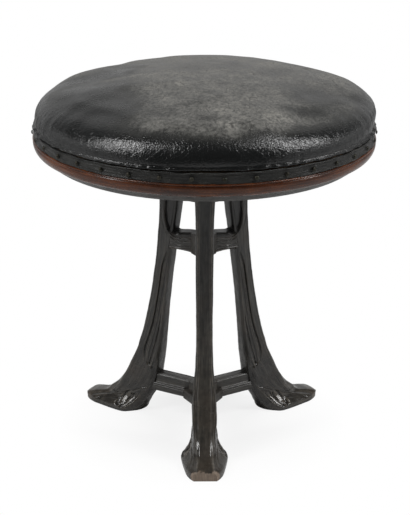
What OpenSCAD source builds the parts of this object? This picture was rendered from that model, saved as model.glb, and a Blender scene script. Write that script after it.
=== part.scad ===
// Revolving piano stool: three carved legs stand round an iron screw that carries an upholstered seat.
// Millimetres. +Z is up, the origin is on the floor under the screw, the front leg points to -Y.
// Turning the seat anticlockwise, as seen from above, raises it by one pitch of the screw each turn.

/* [Legs] */
// Height of the carved legs above the floor
leg_h = 358; // [345:1:375]
// Width across a leg's shaft, below the upper stretcher
leg_w = 21; // [19:0.5:24]
// Reach of a toe from the screw's axis
foot_reach = 168; // [160:1:180]
// Greatest width of a foot
foot_w = 58; // [50:1:64]
// Depth of the long hollow panel on each side of a leg
panel_d = 2.2; // [1:0.1:3]
// Depth of the scooped window above the upper stretcher, on each side of a leg
scoop_d = 3.2; // [1:0.1:4]
// Depth of the flutes that run down the instep
flute_d = 1.2; // [0.5:0.1:1.6]
// Depth of the finger flutes on the side of a foot
finger_d = 2.4; // [1:0.1:3]
// How far the edges of a toe's top are drawn back from its middle
toe_round_d = 3.5; // [2:0.5:6]

/* [Stretchers] */
// Drop from the leg tops to the middle of the upper stretcher
upper_drop = 111; // [104:0.5:120]
// Height of an upper stretcher arm
upper_arm_h = 24; // [20:0.5:26]
// Width of an upper stretcher arm
upper_arm_w = 20; // [16:0.5:21]
// Height of the middle of the lower stretcher above the floor
lower_mid_h = 45; // [42:0.5:48]
// Height of a lower stretcher arm
lower_arm_h = 24; // [20:0.5:26]
// Width of a lower stretcher arm at its bottom band
lower_arm_w = 22; // [18:0.5:24]
// Width of the upper hub across its flats
upper_hub_w = 28; // [27:0.5:34]
// Width of the lower hub across its flats
lower_hub_w = 45; // [42:0.5:54]
// Length of the tenon on the leg end of an arm
tenon_l = 8; // [5:0.5:9]
// Thickness of that tenon
tenon_t = 8; // [6:0.5:10]

/* [Screw] */
// Diameter of the screw
screw_d = 18; // [14:0.5:19]
// Pitch of the screw, the rise in one turn
screw_pitch = 6; // [4:0.5:8]
// Full turns and part of a turn that the seat can rise by
screw_turns = 15.25; // [10:0.25:16]
// Length of the nut
nut_l = 42; // [30:1:46]
// Diameter of the nut's barrel
nut_d = 30; // [26:1:34]
// Diameter of the nut's flange
nut_flange_d = 56; // [50:1:60]
// Thickness of the nut's flange
nut_flange_t = 3; // [2:0.5:4]
// Thickness of the leather buffer washer between nut and seat
buffer_t = 2; // [1:0.5:3]
// Diameter of the iron plate under the seat
plate_d = 110; // [96:2:130]
// Thickness of that plate
plate_t = 4; // [3:0.5:6]

/* [Top block] */
// Height of the block that holds the leg tops and the nut
block_h = 44; // [40:1:50]
// Width of the block between opposite flats
block_w = 66; // [62:1:70]

/* [Seat] */
// Greatest diameter of the polished wooden rail
rail_d = 420; // [390:1:450]
// Height of the rail
rail_h = 16; // [12:0.5:20]
// Thickness of the blackened bottom board
bottom_t = 10; // [8:0.5:14]
// Height of the leather band above the rail
band_h = 12; // [10:0.5:16]
// How far the cushion's widest line stands outside the rail
cushion_spread = 1.5; // [0.5:0.5:8]
// Height of the cushion's crown above its widest line
crown_h = 61.5; // [40:0.5:75]
// Thickness of the leather
leather_t = 2; // [1.5:0.1:3]
// Number of nails round the band
nail_count = 36; // [18:1:48]
// Diameter of a nail's domed head
nail_d = 5.6; // [4:0.2:7]
// Depth of the worn hollows in the crown
hollow_d = 4; // [0:0.5:5]

/* [Hidden] */

// Colours
ebonised = [0.17, 0.16, 0.15];
iron = [0.30, 0.29, 0.28];
steel = [0.55, 0.54, 0.52];
beech = [0.72, 0.56, 0.38];
mahogany = [0.36, 0.15, 0.08];
black_leather = [0.12, 0.12, 0.13];
hair = [0.45, 0.36, 0.27];
bronze = [0.30, 0.25, 0.18];

// Angle of each leg about the screw's axis, from +X
leg_angles = [-90, 150, 30];

// Clearances
run_gap = 0.05; // screw in its nut
guide_gap = 0.3; // screw in the upper hub
fit_gap = 0.05; // glued or driven parts
soft_gap = 0.3; // stuffing under the leather, leather on the board
overrun = 1; // how far a cutting solid runs past what it cuts

// Smoothness
fine = 96;
small = 32;

// Heights that follow from the driving sizes
upper_mid_h = leg_h - upper_drop;
block_low_h = leg_h - block_h;
nut_top_h = leg_h + nut_flange_t;
plate_low_h = nut_top_h + buffer_t;
seat_low_h = plate_low_h + plate_t;
board_low_h = seat_low_h + bottom_t;
rail_top_h = board_low_h + rail_h;
band_top_h = rail_top_h + band_h;

// Leg outline, by height as a share of leg_h: inner and outer radius as shares of foot_reach,
// then how much of leg_w and how much of foot_w make the width there, and how far the section is
// still the leaf shape of the foot.
leg_shares = [
    [0.000, 0.512, 0.990, 0.00, 0.950, 1.00],
    [0.014, 0.502, 0.996, 0.00, 1.000, 1.00],
    [0.024, 0.490, 0.998, 0.00, 1.000, 1.00],
    [0.030, 0.484, 0.999, 0.00, 0.960, 1.00],
    [0.036, 0.479, 0.992, 0.14, 0.880, 0.97],
    [0.043, 0.471, 0.905, 0.40, 0.680, 0.90],
    [0.052, 0.460, 0.840, 0.72, 0.480, 0.78],
    [0.068, 0.440, 0.797, 1.08, 0.250, 0.54],
    [0.087, 0.419, 0.763, 1.26, 0.110, 0.34],
    [0.103, 0.406, 0.726, 1.36, 0.045, 0.18],
    [0.126, 0.393, 0.692, 1.44, 0.005, 0.05],
    [0.152, 0.384, 0.657, 1.47, 0.000, 0.00],
    [0.190, 0.372, 0.619, 1.42, 0.000, 0.00],
    [0.235, 0.357, 0.575, 1.36, 0.000, 0.00],
    [0.274, 0.346, 0.545, 1.20, 0.000, 0.00],
    [0.310, 0.337, 0.520, 1.08, 0.000, 0.00],
    [0.363, 0.325, 0.488, 1.01, 0.000, 0.00],
    [0.447, 0.308, 0.448, 0.98, 0.000, 0.00],
    [0.531, 0.288, 0.414, 1.00, 0.000, 0.00],
    [0.628, 0.261, 0.384, 1.03, 0.000, 0.00],
    [0.726, 0.233, 0.364, 1.05, 0.000, 0.00],
    [0.810, 0.205, 0.352, 1.06, 0.000, 0.00],
    [0.888, 0.188, 0.349, 1.16, 0.000, 0.00],
    [1.000, 0.188, 0.346, 1.33, 0.000, 0.00]
];
// Fall of the foot's side edge from heel to toe, as a share of leg_h
toe_slope_share = 0.009;
// Heights at which the leg's surface is laid, as shares of leg_h
station_shares = [0, 0.014, 0.024, 0.030, 0.036, 0.042, 0.050, 0.059, 0.069, 0.081, 0.092, 0.104, 0.118, 0.135,
    0.155, 0.180, 0.206, 0.235, 0.272, 0.315, 0.363, 0.415, 0.470, 0.530, 0.590, 0.630, 0.652, 0.690,
    0.728, 0.752, 0.790, 0.840, 0.888, 0.940, 1];

// Half section of the shaft, from the middle of the inner face round one side to the middle of the
// outer face: place between inner and outer radius, and share of the half width.
shaft_shares = [[0, 0], [0, 0.34], [0.01, 0.62], [0.08, 0.88], [0.15, 1], [0.25, 1], [0.29, 1], [0.37, 1],
    [0.43, 1], [0.49, 1], [0.56, 1], [0.62, 1], [0.68, 1], [0.74, 1], [0.79, 1], [0.90, 1], [0.97, 0.94],
    [1, 0.80], [0.985, 0.62], [0.99, 0.45], [0.985, 0.28], [0.99, 0.12], [0.985, 0]];
// The same points on the leaf shape of the foot
leaf_shares = [[0, 0], [0.003, 0.18], [0.012, 0.36], [0.040, 0.54], [0.085, 0.70], [0.140, 0.84],
    [0.205, 0.95], [0.285, 1], [0.365, 1], [0.440, 0.99], [0.510, 0.975], [0.575, 0.95], [0.640, 0.92],
    [0.700, 0.885], [0.760, 0.84], [0.830, 0.775], [0.910, 0.69], [1, 0.59], [1, 0.46], [1, 0.32],
    [1, 0.20], [1, 0.10], [1, 0]];
// How far each point is cut back in the side panel: its floor with two long tendons left standing
panel_shares = [0, 0, 0, 0, 0, 0, 0.75, 1, 0.25, 1, 1, 0.3, 1, 0.75, 0, 0, 0, 0, 0, 0, 0, 0, 0];
// The same for the scooped window above the upper stretcher
scoop_shares = [0, 0, 0, 0, 0, 0.1, 0.45, 0.8, 0.95, 1, 1, 0.95, 0.8, 0.5, 0.1, 0, 0, 0, 0, 0, 0, 0, 0];
// The same for the flutes of the instep
flute_shares = [0, 0, 0, 0, 0, 0, 0, 0, 0, 0, 0, 0, 0, 0, 0, 0, 0, 0.2, 1, 0, 1, 0, 0.7];
// The same for the two finger flutes on the side of the foot
finger_shares = [0, 0, 0, 0, 0, 0, 0, 0, 1, 0, 1, 0, 0, 0, 0, 0, 0, 0, 0, 0, 0, 0, 0];
// How far each point is drawn back to round the toe's top
toe_shares = [0, 0, 0, 0, 0, 0, 0, 0, 0, 0, 0, 0, 0.1, 0.3, 0.6, 0.85, 1, 1, 0.62, 0.33, 0.13, 0.03, 0];
// Depth of that rounding by height
toe_fade_shares = [[0, 0], [0.024, 0], [0.036, 0.5], [0.055, 0.8], [0.090, 0.4], [0.120, 0]];
// Depth of the instep's flutes by height, as a share of leg_h and of flute_d
flute_fade_shares = [[0, 0], [0.030, 0], [0.036, 2], [0.050, 2.6], [0.075, 2], [0.100, 1.2],
    [0.150, 0.9], [0.200, 0.5], [0.260, 0]];
// Depth of the finger flutes by height
finger_fade_shares = [[0, 0], [0.027, 0], [0.036, 0.7], [0.050, 1], [0.066, 0.8], [0.085, 0]];
// Depth of the long panel by height
panel_fade_shares = [[0, 0], [0.190, 0], [0.240, 0.7], [0.300, 1], [0.600, 1], [0.645, 0], [1, 0]];
// Depth of the scooped window by height
scoop_fade_shares = [[0, 0], [0.735, 0], [0.790, 0.85], [0.840, 1], [0.930, 1], [0.970, 0.6], [1, 0.6]];

// Leg joints
arm_housing = 3; // how far an arm's shoulder is let into the leg
tenon_share = 0.6; // height of a tenon in its arm's height
dowel_d = 8;
dowel_l = 30;
dowel_in_leg = 12;
dowel_drop_shares = [0.3, 0.7]; // places of the two dowels down the block

// Stretcher arms
upper_chamfer = 4; // on the long edges of an upper arm
upper_arch_d = 1.8; // rise of the arch under an upper arm
upper_rise = 3; // how much higher an upper arm is at its hub
haunch_l = 9; // the swelling where an upper arm meets its leg
haunch_h = 6;
lower_step_share = 0.52; // height of the ledge on a lower arm
lower_neck = 3; // set back of the band above that ledge
lower_chamfer = 2;
upper_taper_l = 14; // the end of an upper arm that narrows to the flat of its hub
hub_tenon_l = 3;
hub_overhang = 1.2; // how far the upper hub stands below its arms
hub_chamfer = 3;
hub_neck = 6.5; // set back of the lower hub above the ledge
hub_step = 2.5; // drop of the lower hub's boss
hub_boss_share = 0.62; // width of that boss in the hub's

// Screw and nut
screw_spare = 4; // screw left in the nut's foot when the seat is at its highest
screw_tip = 2;
spigot_step = 2; // from the screw's radius in to the spigot's
spigot_d = screw_d - 2 * spigot_step;
rivet_step = 2;
rivet_d = screw_d + 2 * rivet_step;
rivet_h = 4;
nut_screw_d = 4;
nut_screw_l = 22;
nut_screw_count = 3;
plate_screw_d = 5;
plate_screw_l = 22;
plate_screw_count = 6;
plate_bevel = 1.5;
screw_head_ratio = 2; // head diameter over shank diameter
buffer_step = 3; // from the flange's radius in to the buffer's
buffer_d = nut_flange_d - 2 * buffer_step;
tip_gap = 1; // under the point of a wood screw
block_chamfer = 3;

// Seat
bottom_edge_inset = 20.5; // from the rail's radius in to the bottom board's lower edge
bottom_top_inset = 8.5; // from the rail's radius in to its upper edge
rail_t = 20; // thickness of the rail, across
rail_bead_r = 16; // radius of the rail's rounded face
rail_bead_mid_share = 0.62;
board_inset = 5; // from the rail's radius in to the seat board's edge
board_screw_d = 4;
board_screw_l = 26;
board_screw_count = 6;
board_screw_r_share = 0.73; // place of the board's screws in the rail's radius
band_t = 1.5;
nail_shank_d = 1.4;
nail_shank_l = 9;
nail_dome_share = 0.36; // height of a nail's dome in its diameter

// Cushion
cushion_d = rail_d + 2 * cushion_spread;
cushion_sides = 44;
roll_h = 5; // height from the band's top up to the cushion's widest line
roll_steps = 2;
crown_steps = 12;
crown_round_power = 1.81; // exponent of the crown across the seat
crown_side_power = 3.13; // exponent of the crown up its side
hollow_edge_ratio = 6; // how steeply the hollows end at the side
crown_step_power = 1.6; // how much closer the crown's rings lie near the side
// Worn hollows, and swellings where the last number is below 0: distance out as a share of the
// radius, angle, spread as a share of the radius, share of the depth
hollow_shares = [[0.62, 221, 0.17, 1], [0.72, 250, 0.13, 0.5], [0.64, 176, 0.13, 0.7], [0.70, 340, 0.20, 0.9],
    [0.78, 305, 0.15, 0.5], [0.80, 272, 0.15, 0.5], [0.62, 122, 0.22, 0.9], [0.58, 40, 0.20, 0.4],
    [0.78, 160, 0.10, -0.4], [0.88, 284, 0.13, -0.5], [0.35, 300, 0.22, -0.4]];

// Index of the row of a table that a value falls in
function row_of(t, x, i = 0) = (i >= len(t) - 2 || x < t[i + 1][0]) ? i : row_of(t, x, i + 1);
// Slope of a table's column at a row
function slope_at(t, i, c) =
    let (a = max(i - 1, 0), b = min(i + 1, len(t) - 1)) (t[b][c] - t[a][c]) / (t[b][0] - t[a][0]);
// Smooth curve through a table's column
function smooth(t, x, c) =
    let (i = row_of(t, x), h = t[i + 1][0] - t[i][0], s = (x - t[i][0]) / h)
    t[i][c] * (1 + 2 * s) * (1 - s) * (1 - s) + t[i + 1][c] * s * s * (3 - 2 * s)
    + h * (slope_at(t, i, c) * s * (1 - s) * (1 - s) - slope_at(t, i + 1, c) * s * s * (1 - s));
function mix(a, b, s) = a + (b - a) * s;
function total(list, i = 0) = i < len(list) ? list[i] + total(list, i + 1) : 0;

function leg_inner(q) = foot_reach * smooth(leg_shares, q, 1);
function leg_outer(q) = foot_reach * smooth(leg_shares, q, 2);
// Half width at height share q, the foot narrowing sooner the nearer a place a lies to the toe
function leg_half(q, a) = leg_w / 2 * smooth(leg_shares, q, 3)
    + foot_w / 2 * max(0, smooth(leg_shares, q + toe_slope_share * a, 4));
function leafness(q) = min(1, max(0, smooth(leg_shares, q, 5)));

// One point of the leg's section at height share q, on the side given by +1 or -1
function leg_point(q, i, side) =
    let (
        m = leafness(q),
        a = mix(shaft_shares[i][0], leaf_shares[i][0], m),
        b = mix(shaft_shares[i][1], leaf_shares[i][1], m),
        cut = panel_d * lookup(q, panel_fade_shares) * panel_shares[i]
            + scoop_d * lookup(q, scoop_fade_shares) * scoop_shares[i]
            + finger_d * lookup(q, finger_fade_shares) * finger_shares[i],
        back = flute_d * lookup(q, flute_fade_shares) * flute_shares[i]
            + toe_round_d * lookup(q, toe_fade_shares) * toe_shares[i]
    )
    [mix(leg_inner(q), leg_outer(q), a) - back, side * (leg_half(q, a) * b - cut), leg_h * q];
function leg_ring(q) = concat(
    [for (i = [0 : len(shaft_shares) - 1]) leg_point(q, i, -1)],
    [for (i = [len(shaft_shares) - 2 : -1 : 1]) leg_point(q, i, 1)]
);

// Closed solid through rings of equal length, the ends closed by fans round a middle point
module loft(rings, low_mid, top_mid) {
    n = len(rings[0]);
    m = len(rings);
    points = concat([for (r = rings) each r], [low_mid, top_mid]);
    sides = [for (j = [0 : m - 2], i = [0 : n - 1]) let (k = (i + 1) % n)
        each [[j * n + i, (j + 1) * n + i, (j + 1) * n + k], [j * n + i, (j + 1) * n + k, j * n + k]]];
    low = [for (i = [0 : n - 1]) [m * n, i, (i + 1) % n]];
    top = [for (i = [0 : n - 1]) [m * n + 1, (m - 1) * n + (i + 1) % n, (m - 1) * n + i]];
    polyhedron(points, concat(sides, low, top));
}

module carved_leg_blank() {
    loft([for (q = station_shares) leg_ring(q)],
        [mix(leg_inner(0), leg_outer(0), 0.5), 0, 0],
        [mix(leg_inner(1), leg_outer(1), 0.5), 0, leg_h]);
}

// Radius to which an arm's shoulder reaches at its leg, from the leg's inner face over the arm's height
function shoulder_r(mid_h, h) =
    max(leg_inner((mid_h - h / 2) / leg_h), leg_inner((mid_h + h / 2) / leg_h)) + arm_housing;
upper_shoulder_r = shoulder_r(upper_mid_h, upper_arm_h);
lower_shoulder_r = shoulder_r(lower_mid_h, lower_arm_h);

module carved_leg(angle) {
    color(ebonised)
    rotate([0, 0, angle])
    difference() {
        carved_leg_blank();
        // flat seat against the top block
        translate([0, -foot_w / 2, block_low_h])
            cube([block_w / 2, foot_w, block_h + overrun]);
        upper_arm_solid();
        lower_arm_solid();
        dowel_bores();
    }
}

// A tenon, from radius r outwards, at the middle height of its arm
module tenon(r, length, mid_h, h) {
    translate([r, -tenon_t / 2, mid_h - h * tenon_share / 2])
        cube([length, tenon_t, h * tenon_share]);
}

// Section of an upper arm, across and up, its long edges chamfered
module upper_arm_section() {
    w = upper_arm_w / 2;
    top = upper_arm_h / 2 + haunch_h;
    low = -upper_arm_h / 2;
    c = upper_chamfer;
    polygon([[-w + c, low], [w - c, low], [w, low + c], [w, top - c], [w - c, top], [-w + c, top],
        [-w, top - c], [-w, low + c]]);
}

// Side view of an upper arm, outwards and up: arched below, haunched above at the leg
module upper_arm_side(r0, r1) {
    half = upper_arm_h / 2;
    mid = (r0 + r1) / 2;
    polygon([[r0, -half], [mix(r0, mid, 0.5), -half + upper_arch_d * 0.75], [mid, -half + upper_arch_d],
        [mix(mid, r1, 0.5), -half + upper_arch_d * 0.75], [r1, -half], [r1, half + haunch_h],
        [r1 - haunch_l, half], [mix(r0, r1, 0.35), half + upper_rise * 0.8], [r0, half + upper_rise]]);
}

// Plan of an upper arm, which narrows to the flat of its hub
module upper_arm_plan(r0, r1) {
    w = upper_arm_w / 2;
    n = min(w, r0 * tan(30));
    polygon([[r0, -n], [r0 + upper_taper_l, -w], [r1, -w], [r1, w], [r0 + upper_taper_l, w], [r0, n]]);
}

module upper_arm_solid() {
    r0 = upper_hub_w / 2;
    translate([0, 0, upper_mid_h])
    intersection() {
        rotate([90, 0, 90])
            linear_extrude(upper_shoulder_r)
                upper_arm_section();
        rotate([90, 0, 0])
            linear_extrude(upper_arm_w + overrun, center = true)
                upper_arm_side(r0, upper_shoulder_r);
        linear_extrude(2 * upper_arm_h, center = true)
            upper_arm_plan(r0, upper_shoulder_r);
    }
    tenon(upper_shoulder_r, tenon_l, upper_mid_h, upper_arm_h);
    tenon(r0 - hub_tenon_l, hub_tenon_l, upper_mid_h, upper_arm_h);
}

// Section of a lower arm: a narrow upper band stands on a ledge above the wide lower band
module lower_arm_section() {
    w = lower_arm_w / 2;
    n = w - lower_neck;
    half = lower_arm_h / 2;
    ledge = lower_arm_h * (lower_step_share - 0.5);
    c = lower_chamfer;
    polygon([[-w + c, -half], [w - c, -half], [w, -half + c], [w, ledge - c], [w - c, ledge], [n, ledge + c],
        [n, half - c], [n - c, half], [-n + c, half], [-n, half - c], [-n, ledge + c], [-w + c, ledge],
        [-w, ledge - c], [-w, -half + c]]);
}

// Section of the upper band alone, where it runs over the ledge of the hub
module lower_band_section() {
    n = lower_arm_w / 2 - lower_neck;
    half = lower_arm_h / 2;
    ledge = lower_arm_h * (lower_step_share - 0.5);
    c = lower_chamfer;
    polygon([[-n, ledge], [n, ledge], [n, half - c], [n - c, half], [-n + c, half], [-n, half - c]]);
}

module lower_arm_solid() {
    r0 = lower_hub_w / 2;
    translate([r0 - hub_neck, 0, lower_mid_h])
        rotate([90, 0, 90])
            linear_extrude(hub_neck + overrun)
                lower_band_section();
    translate([r0, 0, lower_mid_h])
        rotate([90, 0, 90])
            linear_extrude(lower_shoulder_r - r0)
                lower_arm_section();
    tenon(lower_shoulder_r, tenon_l, lower_mid_h, lower_arm_h);
    tenon(r0 - hub_tenon_l, hub_tenon_l, lower_mid_h, lower_arm_h);
}

module upper_arm(angle) {
    color(ebonised)
    rotate([0, 0, angle])
        upper_arm_solid();
}

module lower_arm(angle) {
    color(ebonised)
    rotate([0, 0, angle])
        lower_arm_solid();
}

// Upright six-sided prism between two heights, its flats square to the legs, edges chamfered by c
module hex_prism(w, low, high, c) {
    r = w / 2 / cos(30);
    intersection() {
        translate([0, 0, low])
            cylinder(r = r, h = high - low, $fn = 6);
        rotate_extrude($fn = fine)
            polygon([[0, low], [r - c, low], [r + overrun, low + c + overrun],
                [r + overrun, high - c - overrun], [r - c, high], [0, high]]);
    }
}

// Mortises for the arms in a hub that measures w across its flats
module hub_mortises(w, mid_h, h) {
    for (a = leg_angles)
        rotate([0, 0, a])
            tenon(w / 2 - hub_tenon_l, hub_tenon_l + overrun, mid_h, h);
}

module upper_hub() {
    color(ebonised)
    difference() {
        hex_prism(upper_hub_w, upper_mid_h - upper_arm_h / 2 - hub_overhang,
            upper_mid_h + upper_arm_h / 2 + upper_rise, hub_chamfer);
        cylinder(r = screw_d / 2 + guide_gap, h = leg_h, $fn = fine);
        hub_mortises(upper_hub_w, upper_mid_h, upper_arm_h);
    }
}

module lower_hub() {
    low = lower_mid_h - lower_arm_h / 2;
    ledge = low + lower_arm_h * lower_step_share;
    color(ebonised)
    difference() {
        union() {
            hex_prism(lower_hub_w, low, ledge, hub_chamfer);
            hex_prism(lower_hub_w - 2 * hub_neck, low, low + lower_arm_h, hub_chamfer);
            hex_prism(lower_hub_w * hub_boss_share, low - hub_step, lower_mid_h, hub_chamfer);
        }
        hub_mortises(lower_hub_w, lower_mid_h, lower_arm_h);
    }
}

// Dowels between the top block and one leg, which lies along +X, each made longer by extra
module dowels(extra) {
    for (s = dowel_drop_shares)
        translate([block_w / 2 - dowel_l + dowel_in_leg - extra, 0, leg_h - block_h * s])
            rotate([0, 90, 0])
                cylinder(r = dowel_d / 2 + (extra > 0 ? fit_gap : 0), h = dowel_l + 2 * extra, $fn = small);
}
module dowel_bores() {
    dowels(overrun);
}

module leg_dowels() {
    color(beech)
    for (a = leg_angles)
        rotate([0, 0, a])
            dowels(0);
}

// A countersunk wood screw, its head's face at the origin and its point along -Z, made larger by extra
module wood_screw(d, length, extra) {
    head_r = d * screw_head_ratio / 2;
    head_h = head_r - d / 2;
    translate([0, 0, -length])
        cylinder(r = d / 2 + extra, h = length, $fn = small);
    rotate_extrude($fn = small)
        polygon([[0, -head_h - extra], [d / 2 + extra, -head_h - extra], [head_r + extra, 0], [0, 0]]);
}

module nut_screw_places() {
    r = mix(nut_d, nut_flange_d, 0.5) / 2;
    for (i = [0 : nut_screw_count - 1])
        rotate([0, 0, i * 360 / nut_screw_count + 90])
            translate([r, 0, nut_top_h])
                children();
}

module top_block() {
    color(ebonised)
    difference() {
        hex_prism(block_w, block_low_h, leg_h, block_chamfer);
        cylinder(r = nut_d / 2 + fit_gap, h = leg_h + overrun, $fn = fine);
        for (a = leg_angles)
            rotate([0, 0, a])
                dowel_bores();
        nut_screw_places()
            wood_screw(nut_screw_d, nut_screw_l, fit_gap);
    }
}

module screw_nut() {
    color(iron)
    difference() {
        union() {
            translate([0, 0, nut_top_h - nut_l])
                cylinder(r = nut_d / 2, h = nut_l, $fn = fine);
            translate([0, 0, leg_h])
                cylinder(r = nut_flange_d / 2, h = nut_flange_t, $fn = fine);
        }
        cylinder(r = screw_d / 2 + run_gap, h = nut_top_h + overrun, $fn = fine);
        nut_screw_places()
            wood_screw(nut_screw_d, nut_screw_l, fit_gap);
    }
}

module nut_screws() {
    color(steel)
    nut_screw_places()
        wood_screw(nut_screw_d, nut_screw_l - tip_gap, 0);
}

module buffer_washer() {
    color(black_leather)
    difference() {
        translate([0, 0, nut_top_h])
            cylinder(r = buffer_d / 2, h = buffer_t, $fn = fine);
        cylinder(r = screw_d / 2 + guide_gap, h = plate_low_h + overrun, $fn = fine);
    }
}

// The screw: shank with a bevelled end, a spigot through the plate and a riveted head above it
module seat_screw() {
    r = screw_d / 2;
    low = nut_top_h - nut_l - screw_pitch * screw_turns - screw_spare;
    color(steel)
    rotate_extrude($fn = fine)
        polygon([[0, low], [r - screw_tip, low], [r, low + screw_tip], [r, plate_low_h],
            [spigot_d / 2, plate_low_h], [spigot_d / 2, seat_low_h], [rivet_d / 2, seat_low_h],
            [rivet_d / 2, seat_low_h + rivet_h / 2], [spigot_d / 2, seat_low_h + rivet_h],
            [0, seat_low_h + rivet_h]]);
}

module plate_screw_places() {
    r = mix(nut_flange_d, plate_d, 0.55) / 2;
    for (i = [0 : plate_screw_count - 1])
        rotate([0, 0, i * 360 / plate_screw_count])
            translate([r, 0, plate_low_h])
                mirror([0, 0, 1])
                    children();
}

module seat_plate() {
    color(iron)
    difference() {
        rotate_extrude($fn = fine)
            polygon([[spigot_d / 2 + fit_gap, plate_low_h], [plate_d / 2 - plate_bevel, plate_low_h],
                [plate_d / 2, plate_low_h + plate_bevel], [plate_d / 2, seat_low_h],
                [spigot_d / 2 + fit_gap, seat_low_h]]);
        plate_screw_places()
            wood_screw(plate_screw_d, plate_screw_l, fit_gap);
    }
}

module plate_screws() {
    color(steel)
    plate_screw_places()
        wood_screw(plate_screw_d, plate_screw_l - tip_gap, 0);
}

module board_screw_places() {
    for (i = [0 : board_screw_count - 1])
        rotate([0, 0, (i + 0.5) * 360 / board_screw_count])
            translate([rail_d / 2 * board_screw_r_share, 0, seat_low_h])
                mirror([0, 0, 1])
                    children();
}

module bottom_board() {
    r = rail_d / 2;
    color(ebonised)
    difference() {
        rotate_extrude($fn = fine)
            polygon([[0, seat_low_h], [r - bottom_edge_inset, seat_low_h],
                [r - mix(bottom_edge_inset, bottom_top_inset, 0.35), seat_low_h + bottom_t * 0.3],
                [r - bottom_top_inset, board_low_h], [0, board_low_h]]);
        translate([0, 0, seat_low_h - overrun])
            cylinder(r = rivet_d / 2 + guide_gap, h = rivet_h + overrun + guide_gap, $fn = small);
        plate_screw_places()
            wood_screw(plate_screw_d, plate_screw_l, fit_gap);
        board_screw_places()
            wood_screw(board_screw_d, board_screw_l, fit_gap);
    }
}

module board_screws() {
    color(steel)
    board_screw_places()
        wood_screw(board_screw_d, board_screw_l - tip_gap, 0);
}

// Stepped board: the rail fits round its lower part, and the leather is nailed to its upper edge
module seat_board() {
    r = rail_d / 2;
    color(beech)
    difference() {
        rotate_extrude($fn = fine)
            polygon([[0, board_low_h], [r - rail_t - fit_gap, board_low_h], [r - rail_t - fit_gap, rail_top_h],
                [r - board_inset, rail_top_h], [r - board_inset, band_top_h], [0, band_top_h]]);
        plate_screw_places()
            wood_screw(plate_screw_d, plate_screw_l, fit_gap);
        board_screw_places()
            wood_screw(board_screw_d, board_screw_l, fit_gap);
    }
}

module seat_rail() {
    r = rail_d / 2;
    color(mahogany)
    rotate_extrude($fn = fine)
        intersection() {
            translate([r - rail_t, board_low_h])
                square([rail_t, rail_h]);
            union() {
                translate([r - rail_bead_r, board_low_h + rail_h * rail_bead_mid_share])
                    circle(r = rail_bead_r, $fn = fine);
                translate([r - rail_t, board_low_h])
                    square([rail_t - rail_bead_r, rail_h]);
            }
        }
}

// Corners of the leather's skirt, so far out that the middles of its flat sides clear the round board
skirt_r = (rail_d / 2 - board_inset + soft_gap) / cos(180 / cushion_sides) + leather_t;
roll_low_h = band_top_h + soft_gap;
wide_h = band_top_h + roll_h;
// Sink of the crown at share x of the radius
function hollow(x, angle) =
    hollow_d * min(1, hollow_edge_ratio * (1 - x)) * total([for (h = hollow_shares)
        let (dx = x * cos(angle) - h[0] * cos(h[1]), dy = x * sin(angle) - h[0] * sin(h[1]))
        h[3] * exp(-(dx * dx + dy * dy) / (2 * h[2] * h[2]))]);
// Point of the crown at angle s up its side, in being the distance in from the leather's outer face
function crown_point(s, angle, in) =
    let (
        r = cushion_d / 2 - in,
        x = pow(cos(s), 2 / crown_round_power),
        up = (crown_h - in) * pow(sin(s), 2 / crown_side_power)
    )
    [r * x * cos(angle), r * x * sin(angle), wide_h + up - hollow(x, angle)];
function crown_ring(s, in) =
    [for (i = [0 : cushion_sides - 1]) crown_point(s, i * 360 / cushion_sides, in)];
function flat_ring(r, h) =
    [for (i = [0 : cushion_sides - 1]) [r * cos(i * 360 / cushion_sides), r * sin(i * 360 / cushion_sides), h]];
// Rings of the roll under the widest line
function roll_rings(in, low) =
    let (inner = skirt_r - in, outer = cushion_d / 2 - in)
    [for (i = [0 : roll_steps - 1]) let (t = 90 * i / roll_steps)
        flat_ring(mix(inner, outer, sin(t)), mix(wide_h, low, cos(t)))];
function crown_rings(in, step) = [for (i = [0 : step : crown_steps - 1]) crown_ring(crown_angle(i), in)];
// Steps close together near the side, where the crown turns fastest
function crown_angle(i) = 90 * pow(i / crown_steps, crown_step_power);
crown_mid = [0, 0, wide_h + crown_h];

module leather_cover() {
    in = leather_t;
    outer = concat([flat_ring(skirt_r, rail_top_h + soft_gap)], roll_rings(0, roll_low_h),
        crown_rings(0, 1));
    inner = concat([flat_ring(skirt_r - in, rail_top_h + soft_gap)], roll_rings(in, roll_low_h + in),
        crown_rings(in, 2));
    n = cushion_sides;
    a = len(outer);
    b = len(inner);
    points = concat([for (r = outer) each r], [for (r = inner) each r],
        [crown_mid - [0, 0, hollow(0, 0)], crown_mid - [0, 0, hollow(0, 0) + in]]);
    out_faces = [for (j = [0 : a - 2], i = [0 : n - 1]) let (k = (i + 1) % n)
        each [[j * n + i, (j + 1) * n + k, j * n + k], [j * n + i, (j + 1) * n + i, (j + 1) * n + k]]];
    in_faces = [for (j = [a : a + b - 2], i = [0 : n - 1]) let (k = (i + 1) % n)
        each [[j * n + i, j * n + k, (j + 1) * n + k], [j * n + i, (j + 1) * n + k, (j + 1) * n + i]]];
    rim = [for (i = [0 : n - 1]) let (k = (i + 1) % n)
        each [[i, k, a * n + k], [i, a * n + k, a * n + i]]];
    top = [for (i = [0 : n - 1]) let (k = (i + 1) % n) [(a + b) * n, (a - 1) * n + k, (a - 1) * n + i]];
    under = [for (i = [0 : n - 1]) let (k = (i + 1) % n)
        [(a + b) * n + 1, (a + b - 1) * n + i, (a + b - 1) * n + k]];
    color(black_leather)
    polyhedron(points, concat(out_faces, in_faces, rim, top, under));
}

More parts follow.
